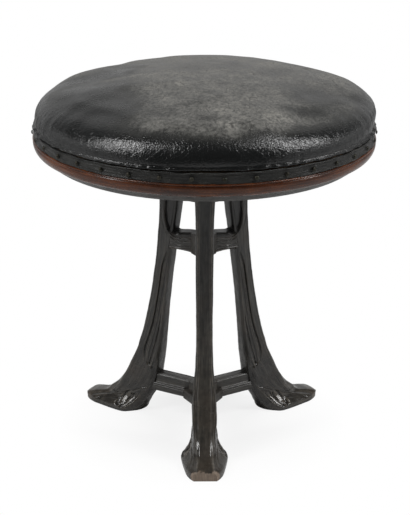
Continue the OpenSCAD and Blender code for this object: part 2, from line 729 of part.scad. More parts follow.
module stuffing_pad() {
    in = leather_t + soft_gap;
    pad_r = skirt_r - in - soft_gap;
    color(hair)
    loft(concat([flat_ring(pad_r, band_top_h), flat_ring(pad_r, wide_h - overrun)], crown_rings(in, 2)),
        [0, 0, band_top_h],
        crown_mid - [0, 0, hollow(0, 0) + in]);
}

module leather_band() {
    inner = skirt_r + soft_gap;
    color(black_leather)
    rotate_extrude($fn = fine)
        translate([inner, rail_top_h])
            square([band_t, band_h]);
}

module band_nails() {
    face_r = skirt_r + soft_gap + band_t;
    dome_h = nail_d * nail_dome_share;
    sphere_r = (dome_h * dome_h + nail_d * nail_d / 4) / (2 * dome_h);
    color(bronze)
    for (i = [0 : nail_count - 1])
        rotate([0, 0, (i + 0.5) * 360 / nail_count])
            translate([face_r, 0, rail_top_h + band_h / 2])
                rotate([0, 90, 0]) {
                    intersection() {
                        translate([0, 0, dome_h - sphere_r])
                            sphere(r = sphere_r, $fn = small);
                        cylinder(r = nail_d / 2 + overrun, h = dome_h + overrun, $fn = small);
                    }
                    translate([0, 0, -nail_shank_l])
                        cylinder(r = nail_shank_d / 2, h = nail_shank_l + dome_h / 2, $fn = small);
                }
}

carved_leg(leg_angles[0]);  // front_leg
carved_leg(leg_angles[1]);  // left_leg
carved_leg(leg_angles[2]);  // right_leg
upper_arm(leg_angles[0]);  // upper_arm_front
upper_arm(leg_angles[1]);  // upper_arm_left
upper_arm(leg_angles[2]);  // upper_arm_right
upper_hub();
lower_arm(leg_angles[0]);  // lower_arm_front
lower_arm(leg_angles[1]);  // lower_arm_left
lower_arm(leg_angles[2]);  // lower_arm_right
lower_hub();
top_block();
leg_dowels();
screw_nut();
nut_screws();
buffer_washer();
seat_screw();
seat_plate();
plate_screws();
bottom_board();
board_screws();
seat_board();
seat_rail();
stuffing_pad();
leather_cover();
leather_band();
band_nails();
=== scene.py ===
import math

import bpy
import numpy as np
from mathutils import Matrix, Quaternion, Vector


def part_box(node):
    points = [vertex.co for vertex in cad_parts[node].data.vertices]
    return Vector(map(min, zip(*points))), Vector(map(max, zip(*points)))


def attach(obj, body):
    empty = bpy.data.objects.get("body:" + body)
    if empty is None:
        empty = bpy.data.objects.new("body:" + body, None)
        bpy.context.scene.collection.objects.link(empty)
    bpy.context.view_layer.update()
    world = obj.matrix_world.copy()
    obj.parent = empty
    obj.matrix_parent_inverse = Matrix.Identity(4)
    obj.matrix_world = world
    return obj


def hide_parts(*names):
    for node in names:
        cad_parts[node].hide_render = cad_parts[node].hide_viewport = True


bl_info = {
    "name": "Revolving piano stool",
    "version": (1, 0, 0),
    "blender": (4, 5, 0),
    "location": "3D View > Sidebar > Piano stool",
    "description": "Dresses the solids of a piano stool with carved wood, leather and iron",
    "category": "Object",
}

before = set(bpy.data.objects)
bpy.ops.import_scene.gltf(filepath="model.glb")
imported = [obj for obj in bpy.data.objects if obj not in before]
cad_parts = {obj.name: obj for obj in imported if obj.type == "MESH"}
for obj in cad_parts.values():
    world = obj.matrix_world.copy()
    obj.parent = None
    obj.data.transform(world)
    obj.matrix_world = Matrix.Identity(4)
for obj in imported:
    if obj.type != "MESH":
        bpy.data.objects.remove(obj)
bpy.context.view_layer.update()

MM = 0.001
LEG_ANGLES = {"front": -90, "left": 150, "right": 30}
SIXTH = math.pi / 6  # from the middle of a hexagon's flat to its corner


def node_top(node):
    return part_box(node)[1].z


# Small helpers for modelling


def nothing_selected():
    if bpy.context.object and bpy.context.object.mode != "OBJECT":
        bpy.ops.object.mode_set(mode="OBJECT")
    bpy.ops.object.select_all(action="DESELECT")


def only(piece):
    nothing_selected()
    piece.select_set(True)
    bpy.context.view_layer.objects.active = piece


def edit_all(piece, *steps):
    """Runs edit mode steps on the whole of a piece."""
    only(piece)
    bpy.ops.object.mode_set(mode="EDIT")
    bpy.ops.mesh.select_mode(type="VERT")
    bpy.ops.mesh.select_all(action="SELECT")
    for step in steps:
        step()
    bpy.ops.object.mode_set(mode="OBJECT")


def points_of(piece):
    places = np.empty(len(piece.data.vertices) * 3)
    piece.data.vertices.foreach_get("co", places)
    return places.reshape(-1, 3)


def place_points(piece, places):
    piece.data.vertices.foreach_set("co", np.asarray(places, dtype=np.float32).ravel())
    piece.data.update()


def added(name, operator, **values):
    """Adds a primitive with nothing else selected, and names it."""
    nothing_selected()
    operator(**values)
    piece = bpy.context.object
    piece.name = piece.data.name = name
    return piece


def copy_of(piece, name):
    only(piece)
    bpy.ops.object.duplicate()
    twin = bpy.context.object
    twin.name = twin.data.name = name
    return twin


def settle(piece):
    """Moves the object's place, turn and scale into its mesh."""
    only(piece)
    bpy.ops.object.transform_apply(location=True, rotation=True, scale=True)


def modify(piece, name, kind, **values):
    """Adds a modifier and applies it."""
    modifier = piece.modifiers.new(name, kind)
    for key, value in values.items():
        setattr(modifier, key, value)
    only(piece)
    bpy.ops.object.modifier_apply(modifier=modifier.name)


def rounded(piece, width, segments=2, angle=30):
    """Bevels the piece's edges that are sharper than the angle."""
    limit = {"limit_method": "ANGLE", "angle_limit": math.radians(angle)}
    modify(piece, "Rounded edges", "BEVEL", width=width, segments=segments, **limit)


def shade(piece, angle=40):
    only(piece)
    bpy.ops.object.shade_smooth_by_angle(angle=math.radians(angle))


def facing_out():
    bpy.ops.mesh.normals_make_consistent(inside=False)


def turned(name, profile, steps):
    """A turned piece: a closed profile of (radius, height) points, spun once round the stool's axis."""
    piece = added(name, bpy.ops.mesh.primitive_circle_add, vertices=len(profile), radius=1)
    place_points(piece, [(r, 0, z) for r, z in profile])
    edit_all(
        piece,
        lambda: bpy.ops.mesh.spin(steps=steps, angle=math.tau, center=(0, 0, 0), axis=(0, 0, 1)),
        lambda: bpy.ops.mesh.select_all(action="SELECT"),
        lambda: bpy.ops.mesh.remove_doubles(threshold=1e-6),
        lambda: bpy.ops.mesh.dissolve_degenerate(threshold=1e-7),
        facing_out,
    )
    return piece


def bar(name, section, start, end, cuts):
    """A straight bar along X: a closed section of (across, up) points, extruded and cut into lengths."""
    piece = added(name, bpy.ops.mesh.primitive_circle_add, vertices=len(section), radius=1, fill_type="NGON")
    place_points(piece, [(start, y, z) for y, z in section])
    way = {"value": (end - start, 0, 0)}
    edit_all(piece, lambda: bpy.ops.mesh.extrude_region_move(TRANSFORM_OT_translate=way))
    for i in range(1, cuts + 1):
        place = start + (end - start) * i / (cuts + 1)
        edit_all(piece, lambda: bpy.ops.mesh.bisect(plane_co=(place, 0, 0), plane_no=(1, 0, 0)))
    edit_all(piece, facing_out)
    return piece


def sheet(name, columns, rows):
    """A flat grid of points to be rolled into a piece, and how far each lies along the two sides."""
    piece = added(name, bpy.ops.mesh.primitive_grid_add, x_subdivisions=columns, y_subdivisions=rows, size=1)
    flat = points_of(piece)[:, :2]
    u, v = ((flat - flat.min(axis=0)) / np.ptp(flat, axis=0)).T
    return piece, u, v


def close_tube(piece):
    """Joins the long edges of a rolled sheet and fills its two ends."""
    edit_all(
        piece,
        lambda: bpy.ops.mesh.remove_doubles(threshold=2e-6),
        lambda: bpy.ops.mesh.select_all(action="DESELECT"),
        lambda: bpy.ops.mesh.select_non_manifold(),
        lambda: bpy.ops.mesh.fill(),
        lambda: bpy.ops.mesh.select_all(action="SELECT"),
        facing_out,
    )


def turn_to(piece, degrees):
    """Turns the mesh round the stool's axis."""
    piece.data.transform(Matrix.Rotation(math.radians(degrees), 4, "Z"))
    piece.data.update()


def six_sided(name, across, low, high):
    """A six-sided block round the stool's axis. Across is from the axis to the middle of a flat."""
    values = {"vertices": 6, "radius": across / math.cos(SIXTH), "depth": high - low}
    block = added(name, bpy.ops.mesh.primitive_cylinder_add, location=(0, 0, (low + high) / 2), **values)
    settle(block)
    turn_to(block, 30)
    return block


def finish_piece(piece, body, slot, finish, *replaced):
    piece.data.materials.clear()
    piece.data.materials.append(finish_of(finish))
    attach(piece, body)
    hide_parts(*replaced)


def give_finish(node, finish):
    """A CAD node whose shape is right keeps its mesh and gets the finish."""
    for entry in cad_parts[node].material_slots:
        entry.material = finish_of(finish)


def set_at_legs(arm, name):
    """Sets a copy of a stretcher's arm at each leg, in place of the CAD's arm."""
    for place, degrees in LEG_ANGLES.items():
        one = copy_of(arm, "%s_%s_carved" % (name, place))
        turn_to(one, degrees)
        finish_piece(one, "base", "ebonised_wood", "arm_wood", "%s_%s" % (name, place))
    bpy.data.objects.remove(arm)


def paint_number(piece, name, values):
    """Stores one number for each point of the mesh, for a material to read."""
    layer = piece.data.attributes.get(name) or piece.data.attributes.new(name, "FLOAT", "POINT")
    layer.data.foreach_set("value", np.asarray(values, dtype=np.float32))


def paint_places(piece, name, places):
    layer = piece.data.attributes.new(name, "FLOAT_VECTOR", "POINT")
    layer.data.foreach_set("vector", np.ascontiguousarray(places, dtype=np.float32).ravel())


# Smooth functions for the forms


def smooth_step(low, high, x):
    t = np.clip((np.asarray(x, dtype=float) - low) / (high - low), 0, 1)
    return t * t * (3 - 2 * t)


def fall(low, high, x):
    return 1 - smooth_step(low, high, x)


def window(x, low, full, still_full, high):
    """Rises from 0 at low to 1 at full, and falls back from still_full to high."""
    return smooth_step(low, full, x) * fall(still_full, high, x)


def bump(x, middle, width):
    """A rounded hump, 1 at the middle and 0 beyond the width on both sides."""
    t = np.clip(np.abs((x - middle) / width), 0, 1)
    return (1 - t * t) ** 2


def bell(x, middle, width):
    return np.exp(-(((x - middle) / width) ** 2))


def drift(places, size, seed):
    """Smooth random numbers between -1 and 1, one for each place, that change over about the given size."""
    p = np.asarray(places, dtype=float) / size + 17.31 * seed
    cell = np.floor(p)
    share = p - cell
    share = share * share * (3 - 2 * share)
    total = np.zeros(p.shape[:-1])
    for corner in np.ndindex(2, 2, 2):
        dot = (cell + corner) @ np.array([127.1, 311.7, 74.7])
        value = np.sin(dot) * 43758.5453
        weight = np.prod(np.where(corner, share, 1 - share), axis=-1)
        total += (2 * (value - np.floor(value)) - 1) * weight
    return total


def hand_worked(places):
    """Low, irregular unevenness of a surface cut by hand, in millimetres."""
    return 0.22 * drift(places, 0.016, 1) + 0.14 * drift(places, 0.006, 2) + 0.07 * drift(places, 0.0025, 3)


def lookup(table, x):
    """Straight lines through a table of (key, value) rows."""
    rows = np.array(sorted(table), dtype=float)
    return np.interp(x, rows[:, 0], rows[:, 1])


def curve(table, x, column):
    """Smooth curve through a table's column, against its first column."""
    rows = np.array(table, dtype=float)
    keys, values = rows[:, 0], rows[:, column]
    slopes = np.empty_like(values)
    slopes[1:-1] = (values[2:] - values[:-2]) / (keys[2:] - keys[:-2])
    slopes[0] = (values[1] - values[0]) / (keys[1] - keys[0])
    slopes[-1] = (values[-1] - values[-2]) / (keys[-1] - keys[-2])
    i = np.clip(np.searchsorted(keys, x, side="right") - 1, 0, len(keys) - 2)
    h = keys[i + 1] - keys[i]
    s = (x - keys[i]) / h
    return (
        values[i] * (1 + 2 * s) * (1 - s) ** 2
        + values[i + 1] * s * s * (3 - 2 * s)
        + h * (slopes[i] * s * (1 - s) ** 2 - slopes[i + 1] * s * s * (1 - s))
    )


# Finishes


class Nodes:
    """Short names for the shader nodes that a look is made of."""

    def __init__(self, tree):
        self.tree = tree

    def join(self, value, socket):
        """Feeds a socket from another node's output, or sets it to a value."""
        if isinstance(value, bpy.types.NodeSocket):
            self.tree.links.new(value, socket)
        elif socket.type == "RGBA":
            socket.default_value = (*value, 1)
        else:
            socket.default_value = value

    def add(self, kind, sockets=None, **values):
        """Adds a node. Sockets maps an input's name or number to what goes in."""
        node = self.tree.nodes.new("ShaderNode" + kind)
        for key, value in values.items():
            setattr(node, key, value)
        for key, value in (sockets or {}).items():
            self.join(value, node.inputs[key])
        return node

    def first(self, kind):
        return next(n for n in self.tree.nodes if n.type == kind)

    def painted(self, name, output="Fac"):
        return self.add("Attribute", attribute_name=name, attribute_type="GEOMETRY").outputs[output]

    def place(self, scale=(1, 1, 1), start=None):
        """Places on the piece, scaled along X, Y and Z."""
        start = start or self.add("TexCoord").outputs["Object"]
        return self.add("Mapping", {"Vector": start, "Scale": scale}).outputs["Vector"]

    def noise(self, place, scale, detail=4, rough=0.6):
        sockets = {"Vector": place, "Scale": scale, "Detail": detail, "Roughness": rough}
        return self.add("TexNoise", sockets).outputs["Fac"]

    def cells(self, place, scale, feature="DISTANCE_TO_EDGE"):
        return self.add("TexVoronoi", {"Vector": place, "Scale": scale}, feature=feature).outputs["Distance"]

    def ramp(self, amount, *stops):
        """Colours by amount: each stop is (position, colour)."""
        node = self.add("ValToRGB", {"Fac": amount})
        while len(node.color_ramp.elements) < len(stops):
            node.color_ramp.elements.new(0.5)
        for element, (position, colour) in zip(node.color_ramp.elements, stops):
            element.position = position
            element.color = (*colour, 1)
        return node.outputs["Color"]

    def grey(self, amount, low, high, dark=0.0, light=1.0):
        return self.ramp(amount, (low, (dark,) * 3), (high, (light,) * 3))

    def mix(self, amount, first, second):
        return self.add("Mix", {0: amount, 6: first, 7: second}, data_type="RGBA").outputs[2]

    def blend(self, amount, first, second):
        return self.add("Mix", {0: amount, 2: first, 3: second}, data_type="FLOAT").outputs[0]

    def fade(self, amount, start, end, low, high, kind="SMOOTHSTEP"):
        """Goes from low to high while the amount goes from start to end."""
        sockets = {"Value": amount, "From Min": start, "From Max": end, "To Min": low, "To Max": high}
        return self.add("MapRange", sockets, interpolation_type=kind).outputs[0]

    def sums(self, operation, *parts, clamp=False):
        return self.add("Math", dict(enumerate(parts)), operation=operation, use_clamp=clamp).outputs[0]

    def times(self, first, second, clamp=False):
        return self.sums("MULTIPLY", first, second, clamp=clamp)

    def plus(self, first, second, clamp=False):
        return self.sums("ADD", first, second, clamp=clamp)

    def minus(self, first, second):
        return self.sums("SUBTRACT", first, second)


class Finish(Nodes):
    """A new material with its nodes."""

    def __init__(self, name):
        self.material = bpy.data.materials.new(name)
        self.material.use_nodes = True
        super().__init__(self.material.node_tree)
        self.shader = self.first("BSDF_PRINCIPLED")

    def surface(self, colour, roughness, specular=0.5, metallic=0.0):
        values = {"Base Color": colour, "Roughness": roughness, "Metallic": metallic}
        values["Specular IOR Level"] = specular
        for key, value in values.items():
            self.join(value, self.shader.inputs[key])

    def relief(self, *layers):
        """Chains bumps: each layer is (height, distance in metres, strength)."""
        below = {}
        for height, distance, strength in layers:
            sockets = {"Height": height, "Distance": distance, "Strength": strength, **below}
            below = {"Normal": self.add("Bump", sockets).outputs["Normal"]}
        self.join(below["Normal"], self.shader.inputs["Normal"])


def ebonised(name, grain, colours, carved=True):
    """Blackened wood. Grain is the scale of its fibres along X, Y and Z. Carved pieces carry painted wear,
    with a lighter tone painted as a highlight on the feet's facets, darkening in the cuts and painted shade
    under the seat, and their fibres follow the piece, on a leg down the shaft and out over the toe."""
    wood = Finish(name)
    flow = wood.place(grain, wood.painted("flow", "Vector") if carved else None)
    fibres = wood.noise(flow, 60, 6, 0.62)
    streaks = wood.noise(flow, 19, 5)
    blotches = wood.noise(wood.place(), 22, 5)
    scuffs = wood.noise(wood.place(), 140, 3)
    lie = wood.plus(wood.times(fibres, 0.5), wood.times(streaks, 0.5))
    base = wood.ramp(lie, (0.36, colours.ebony_dark), (0.50, colours.ebony_mid), (0.62, colours.ebony_light))
    base = wood.mix(wood.grey(blotches, 0.46, 0.70, 0, 0.6), base, colours.ebony_brown)
    if carved:
        # wear, with a lighter tone painted as a highlight on the feet's facets and along the outer face's
        # edges
        wear_and_highlight = wood.times(wood.painted("wear_and_highlight"), wood.grey(scuffs, 0.36, 0.62, 0.25, 1))
        base = wood.mix(wear_and_highlight, base, colours.ebony_worn_and_highlight)
        bare = wood.times(wood.painted("bare"), wood.grey(scuffs, 0.30, 0.50, 0.75, 1))
        timber = wood.ramp(fibres, (0.3, colours.bare_dark), (0.7, colours.bare_light))
        base = wood.mix(bare, base, timber)
        # near black where the cuts are darkened and where shade is painted: in the scoop, high on the outer
        # face and on the arm tops
        base = wood.mix(wood.painted("darkening_and_shade"), base, (0.003, 0.003, 0.003))
        polish = wood.painted("polish")
        rough = wood.minus(wood.grey(blotches, 0.3, 0.7, 0.30, 0.44), wood.times(polish, 0.16))
        rough = wood.plus(rough, wood.times(wood.grey(bare, 0.4, 0.9), 0.4), clamp=True)
        calm = wood.minus(1.0, wood.times(polish, 0.75))
    else:
        rough = wood.grey(blotches, 0.3, 0.7, 0.38, 0.56)
        calm = 1.0
    wood.surface(base, rough, specular=0.45)
    layers = ((blotches, 0.0012, 0.35), (streaks, 0.0008, 0.5), (fibres, 0.0004, 0.5), (scuffs, 0.0002, 0.3))
    wood.relief(*[(wood.times(height, calm), distance, strength) for height, distance, strength in layers])
    return wood.material


def polished_rail(colours):
    rail = Finish("polished_rail")
    place = rail.place()
    # the grain runs round the rail
    fibres = rail.noise(rail.place((1, 1, 14)), 26, 8, 0.68)
    figure = rail.noise(place, 17)
    knocks = rail.noise(place, 120)
    base = rail.ramp(fibres, (0.28, colours.rail_dark), (0.5, colours.rail_mid), (0.74, colours.rail_light))
    base = rail.mix(rail.grey(figure, 0.45, 0.72, 0, 0.7), base, colours.rail_dark)
    base = rail.mix(rail.grey(knocks, 0.62, 0.72, 0, 0.6), base, (0.012, 0.008, 0.006))
    rail.surface(base, rail.grey(knocks, 0.3, 0.7, 0.16, 0.34), specular=0.26)
    rail.relief((fibres, 0.00025, 0.4), (knocks, 0.0002, 0.3))
    return rail.material


def worn_leather(colours):
    """Black leather, pebbled, its top greyed by dust and rubbing and lightened by painted sheen, with
    painted highlights where it is lightest and painted shade in its darker patches.
    """
    skin = Finish("cover_leather")
    place = skin.place()
    mottle = skin.noise(place, 45, 6, 0.65)
    grit = skin.noise(place, 420)
    dust_sheen_and_highlight, pleat = skin.painted("dust_sheen_and_highlight"), skin.painted("pleat")
    # wrinkles that run down the side
    wrinkles = skin.times(skin.noise(skin.place((1, 1, 0.12)), 150, 5), pleat)
    dust_and_sheen = skin.times(dust_sheen_and_highlight, skin.grey(mottle, 0.30, 0.62, 0.62, 1.0))
    dust_and_sheen = skin.times(dust_and_sheen, skin.grey(skin.noise(place, 11, 5), 0.30, 0.60, 0.80, 1.0))
    dust_and_sheen = skin.times(dust_and_sheen, skin.grey(skin.noise(place, 240, 3), 0.36, 0.60, 0.70, 1.05), clamp=True)
    dull = (0.0, colours.leather_dark), (0.40, colours.leather_mid)
    # dust with painted sheen greys the crown; the lightest stop is a pale tone painted as a highlight,
    # reached mostly where the painted highlights raise the rub
    base = skin.ramp(dust_and_sheen, *dull, (0.75, colours.leather_dust_and_sheen), (1.0, (0.20, 0.193, 0.173)))
    coarse = skin.cells(place, 190)
    base = skin.mix(skin.grey(coarse, 0.0, 0.05, 0.45, 0), base, (0.005, 0.005, 0.005))
    base = skin.mix(skin.times(skin.grey(grit, 0.62, 0.70, 0, 0.6), dust_sheen_and_highlight), base, colours.leather_scuff)
    base = skin.mix(skin.times(skin.grey(wrinkles, 0.50, 0.62, 0, 0.5), pleat), base, colours.leather_brown)
    cracks = skin.grey(skin.cells(place, 42), 0.0, 0.03, 1, 0)
    crazed = skin.times(cracks, skin.grey(mottle, 0.52, 0.62, 0, 0.75))
    base = skin.mix(crazed, base, (0.004, 0.004, 0.004))
    rough = skin.plus(skin.times(dust_and_sheen, 0.34), skin.grey(mottle, 0.3, 0.7, 0.19, 0.29), clamp=True)
    skin.surface(base, rough, specular=0.44)
    pores = skin.grey(coarse, 0.0, 0.09)
    pebble = skin.grey(skin.cells(place, 310), 0.0, 0.40)
    hide = (pores, 0.0003, 0.30), (pebble, 0.0005, 0.33)
    skin.relief((mottle, 0.0010, 0.08), (wrinkles, 0.0016, 0.9), *hide, (grit, 0.0002, 0.06))
    return skin.material


def band_leather(colours):
    skin = Finish("band_leather")
    creases = skin.noise(skin.place((1, 1, 12)), 30, 7, 0.7)
    cloud = skin.noise(skin.place(), 24)
    grain = skin.noise(skin.place(), 300)
    base = skin.ramp(creases, (0.3, colours.leather_dark), (0.75, colours.band_light))
    base = skin.mix(skin.grey(cloud, 0.55, 0.7, 0, 0.55), base, colours.leather_mid)
    skin.surface(base, skin.grey(grain, 0.3, 0.7, 0.24, 0.42), specular=0.22)
    skin.relief((creases, 0.0016, 0.85), (grain, 0.0003, 0.5))
    return skin.material


def old_metal(name, dark, light, roughness, spots, metallic=1.0):
    """Bare or blackened metal with tarnish in patches."""
    metal = Finish(name)
    cloud = metal.noise(metal.place(), 90, 5)
    pits = metal.noise(metal.place(), 600)
    base = metal.ramp(cloud, (0.35, dark), (0.68, light))
    base = metal.mix(metal.grey(pits, 0.55, 0.68, 0, 0.7), base, spots)
    rough = metal.grey(cloud, 0.3, 0.7, roughness - 0.08, roughness + 0.12)
    metal.surface(base, rough, metallic=metallic)
    metal.relief((pits, 0.0001, 0.5))
    return metal.material


def plain_wood(name, dark, light):
    wood = Finish(name)
    fibres = wood.noise(wood.place((1, 1, 12)), 40, 7, 0.65)
    cloud = wood.noise(wood.place(), 16)
    base = wood.ramp(fibres, (0.3, dark), (0.72, light))
    base = wood.mix(wood.grey(cloud, 0.5, 0.72, 0, 0.4), base, dark)
    wood.surface(base, wood.grey(cloud, 0.3, 0.7, 0.5, 0.68))
    wood.relief((fibres, 0.0003, 0.5))
    return wood.material


def washer_leather():
    skin = Finish("washer_leather")
    cloud = skin.noise(skin.place(), 70, 5)
    skin.surface(skin.ramp(cloud, (0.3, (0.05, 0.025, 0.012)), (0.7, (0.15, 0.085, 0.045))), 0.62)
    skin.relief((skin.cells(skin.place(), 900, "SMOOTH_F1"), 0.0002, 0.5))
    return skin.material


BRONZE_DARK, BRONZE_SPOTS = (0.018, 0.017, 0.013), (0.035, 0.05, 0.04)
IRON_DARK, IRON_LIGHT, RUST = (0.035, 0.032, 0.03), (0.10, 0.095, 0.09), (0.05, 0.025, 0.015)
STEEL_DARK, STEEL_LIGHT, STEEL_SPOTS = (0.10, 0.095, 0.09), (0.33, 0.32, 0.31), (0.05, 0.035, 0.025)
MAKERS = {
    "leg_wood": lambda colours: ebonised("leg_wood", (11, 11, 0.7), colours),
    "arm_wood": lambda colours: ebonised("arm_wood", (0.9, 9, 9), colours),
    "board_wood": lambda colours: ebonised("board_wood", (3, 3, 12), colours, carved=False),
    "block_wood": lambda colours: ebonised("block_wood", (9, 9, 1), colours, carved=False),
    "rail": polished_rail,
    "cover": worn_leather,
    "band": band_leather,
    "nail": lambda colours: old_metal("nail_bronze", BRONZE_DARK, colours.nail, 0.46, BRONZE_SPOTS, 0.85),
    "iron": lambda colours: old_metal("dark_iron", IRON_DARK, IRON_LIGHT, 0.5, RUST, 0.9),
    "steel": lambda colours: old_metal("screw_steel", STEEL_DARK, STEEL_LIGHT, 0.32, STEEL_SPOTS),
    "beech": lambda colours: plain_wood("beech", (0.30, 0.19, 0.10), (0.52, 0.37, 0.22)),
    "washer": lambda colours: washer_leather(),
}
FINISHES = {}


def finish_of(name):
    """Each finish is made once and shared."""
    if name not in FINISHES:
        FINISHES[name] = MAKERS[name](bpy.context.scene.stool_colours)
    return FINISHES[name]


# The carved legs

# Outline by height as a share of the leg's height: inner and outer radius as shares of the toe's reach,
# share of the shaft's width, share of the foot's width, and how far the section is the foot's leaf shape
LEG_OUTLINE = [
    (0.000, 0.512, 0.990, 0.00, 0.950, 1.00),
    (0.014, 0.502, 0.996, 0.00, 1.000, 1.00),
    (0.024, 0.490, 0.998, 0.00, 1.000, 1.00),
    (0.030, 0.484, 0.999, 0.00, 0.960, 1.00),
    (0.036, 0.479, 0.992, 0.14, 0.880, 0.97),
    (0.043, 0.471, 0.905, 0.40, 0.680, 0.90),
    (0.052, 0.460, 0.840, 0.72, 0.480, 0.78),
    (0.068, 0.440, 0.797, 1.08, 0.250, 0.54),
    (0.087, 0.419, 0.754, 1.26, 0.110, 0.34),
    (0.103, 0.406, 0.726, 1.36, 0.045, 0.18),
    (0.126, 0.393, 0.692, 1.44, 0.005, 0.05),
    (0.152, 0.384, 0.657, 1.47, 0.000, 0.00),
    (0.190, 0.372, 0.619, 1.42, 0.000, 0.00),
    (0.235, 0.357, 0.575, 1.36, 0.000, 0.00),
    (0.274, 0.346, 0.545, 1.20, 0.000, 0.00),
    (0.310, 0.337, 0.520, 1.08, 0.000, 0.00),
    (0.363, 0.325, 0.488, 1.01, 0.000, 0.00),
    (0.447, 0.308, 0.448, 0.98, 0.000, 0.00),
    (0.531, 0.288, 0.414, 1.00, 0.000, 0.00),
    (0.628, 0.261, 0.384, 1.03, 0.000, 0.00),
    (0.726, 0.233, 0.364, 1.05, 0.000, 0.00),
    (0.810, 0.205, 0.352, 1.06, 0.000, 0.00),
    (0.888, 0.188, 0.349, 1.16, 0.000, 0.00),
    (1.000, 0.188, 0.346, 1.33, 0.000, 0.00),
]
# Half section of the shaft and of the foot: place between inner and outer radius, share of the half width
SHAFT_SECTION = [
    (0, 0), (0, 0.34), (0.01, 0.62), (0.08, 0.88), (0.15, 1), (0.25, 1), (0.29, 1), (0.37, 1), (0.43, 1),
    (0.49, 1), (0.56, 1), (0.62, 1), (0.68, 1), (0.74, 1), (0.79, 1), (0.90, 1), (0.97, 0.94), (1, 0.80),
    (0.995, 0.62), (0.995, 0.45), (0.995, 0.28), (0.995, 0.12), (0.995, 0),
]
LEAF_SECTION = [
    (0, 0), (0.010, 0.18), (0.028, 0.36), (0.066, 0.54), (0.118, 0.70), (0.172, 0.84), (0.222, 0.95),
    (0.275, 1), (0.335, 1), (0.400, 0.985), (0.470, 0.96), (0.540, 0.93), (0.610, 0.895), (0.680, 0.86),
    (0.750, 0.82), (0.825, 0.76), (0.905, 0.655), (0.985, 0.50), (0.985, 0.39), (0.985, 0.28),
    (0.985, 0.18), (0.985, 0.09), (0.985, 0),
]
LAST_PLACE = len(SHAFT_SECTION) - 1  # the middle of the outer face, counted round half the section
# How far the points at a toe's end are drawn back to round its top: in metres, as a share of that by place,
# and by height
TOE_ROUND = 0.0035
TOE_BACK = [0, 0, 0, 0, 0, 0, 0, 0, 0, 0, 0, 0, 0.1, 0.3, 0.6, 0.85, 1, 1, 0.62, 0.33, 0.13, 0.03, 0]
TOE_FADE = [(0, 0), (0.024, 0), (0.036, 0.5), (0.055, 0.8), (0.090, 0.4), (0.120, 0), (1, 0)]
TOE_SLOPE = 0.009  # how much lower the foot narrows at the toe than at the heel, as a share of the height
# The side toes are whole and run out to a narrower tip: the last places of their leaf section, and how far
# the toe's top is drawn back by height, in metres
TIP_PLACES = [
    (0.84, 0.785), (0.92, 0.70), (0.995, 0.59), (1.055, 0.46), (1.082, 0.33), (1.090, 0.21), (1.094, 0.10),
    (1.095, 0),
]
TIP_BACK = [
    (0, 0), (0.0196, 0), (0.0265, 0.004), (0.030, 0.0080), (0.036, 0.0140), (0.040, 0.013), (0.045, 0.008),
    (0.052, 0.003), (0.060, 0), (1, 0),
]
# Edges of the hollows on a leg's side by height in millimetres: place between inner and outer radius
PANEL_OUTER = [
    (237, 0.05), (235, 0.16), (231.6, 0.29), (222, 0.44), (212, 0.53), (190, 0.545), (161, 0.56),
    (132, 0.60), (110, 0.66), (95, 0.69), (86, 0.64), (75, 0.50), (68, 0.26), (63, 0.02),
]
TENDON_LINE = [
    (225, -0.1), (200, 0.05), (185, 0.10), (157, 0.15), (128, 0.21), (106, 0.25), (84, 0.29), (66, 0.30),
]
TENDON_GROOVES = [(0.30, 0.16), (0.52, 0.22), (0.74, 0.16), (0.86, 0.2)]
SCOOP_OUTER = [
    (356, 0.72), (300, 0.70), (282, 0.67), (274, 0.60), (267, 0.50), (262, 0.36), (258.5, 0.10), (257, 0.0),
]
# Two flat facets on the side of the foot: middle line as (radius, height) in millimetres, half width, and
# how far the facet's foot lies from the leg's middle
FACETS = [
    ([(115.0, 11.0), (110.8, 13.4), (107.8, 17.0), (104.0, 21.5), (101.5, 24.0)], 2.9, 22.9),
    ([(108.4, 8.6), (104.8, 10.7), (100.9, 13.7), (98.0, 16.8), (94.6, 20.5), (89.5, 26.0)], 1.7, 25.0),
]
# Depths of the carving in millimetres
PANEL_DEPTH, SCOOP_DEPTH, CREASE_DEPTH, NOTCH_DEPTH, FACET_DEEPEST = 2.2, 4.4, 1.4, 0.9, 2.6
OUTER_BEAD, SIDE_BEAD, FOOT_BEAD = 0.6, 0.4, 0.22
# The crease above the facets, and the notches where the tool slipped, with their size
CREASE = [
    (64, 37), (73, 38.2), (82, 36.5), (91, 32.8), (100.3, 27.8), (110.4, 22.6), (121.5, 19), (132, 16.6),
    (142, 14), (152, 11.5),
]
NOTCHES = [(98.8, 61.3, 1.3), (91, 47, 1.0), (80, 64, 1.2), (104, 38, 0.9)]
# Lines that sweep from the leg's edge down into the arms of the upper stretcher: line, width, depth
SWEEPS = [
    ([(51.5, 300), (50.5, 285), (49.1, 272), (46.4, 264.5), (43, 258.4), (37, 254.5), (28, 253.5),
      (12, 255)], 1.3, 0.9),
    ([(56.5, 285), (54.5, 275), (51.7, 266.3), (48, 259.0), (43, 253.5), (36, 250), (26, 249),
      (12, 250.5)], 1.3, 0.8),
    ([(60, 263), (57, 254), (51, 248), (43, 245.2), (31, 244.2), (12, 245)], 1.1, 0.55),
    ([(64, 222), (58, 232), (52, 237.5), (44, 240.3), (30, 240.8), (12, 239.8)], 1.1, 0.6),
]
# Ridges and grooves that run down the instep: offset from the leg's middle in millimetres, depth
INSTEP = [
    (0, 0.6), (3.3, 0.5), (5.0, 0.3), (6.6, 0), (7.4, 0.12), (9.4, 0.9), (11.0, 1.35), (12.6, 1.4),
    (14.6, 0.6), (16.8, 0.6), (19.2, 1.3), (21.8, 0.4), (25, 0.9), (28, 0),
]
LEG_COLUMNS, LEG_ROWS = 116, 250  # cells round half a leg, and from the sole to its top
BROKEN_END, BROKEN_TOP = 0.955, 12.4  # of the front toe: share of its reach, and height in millimetres


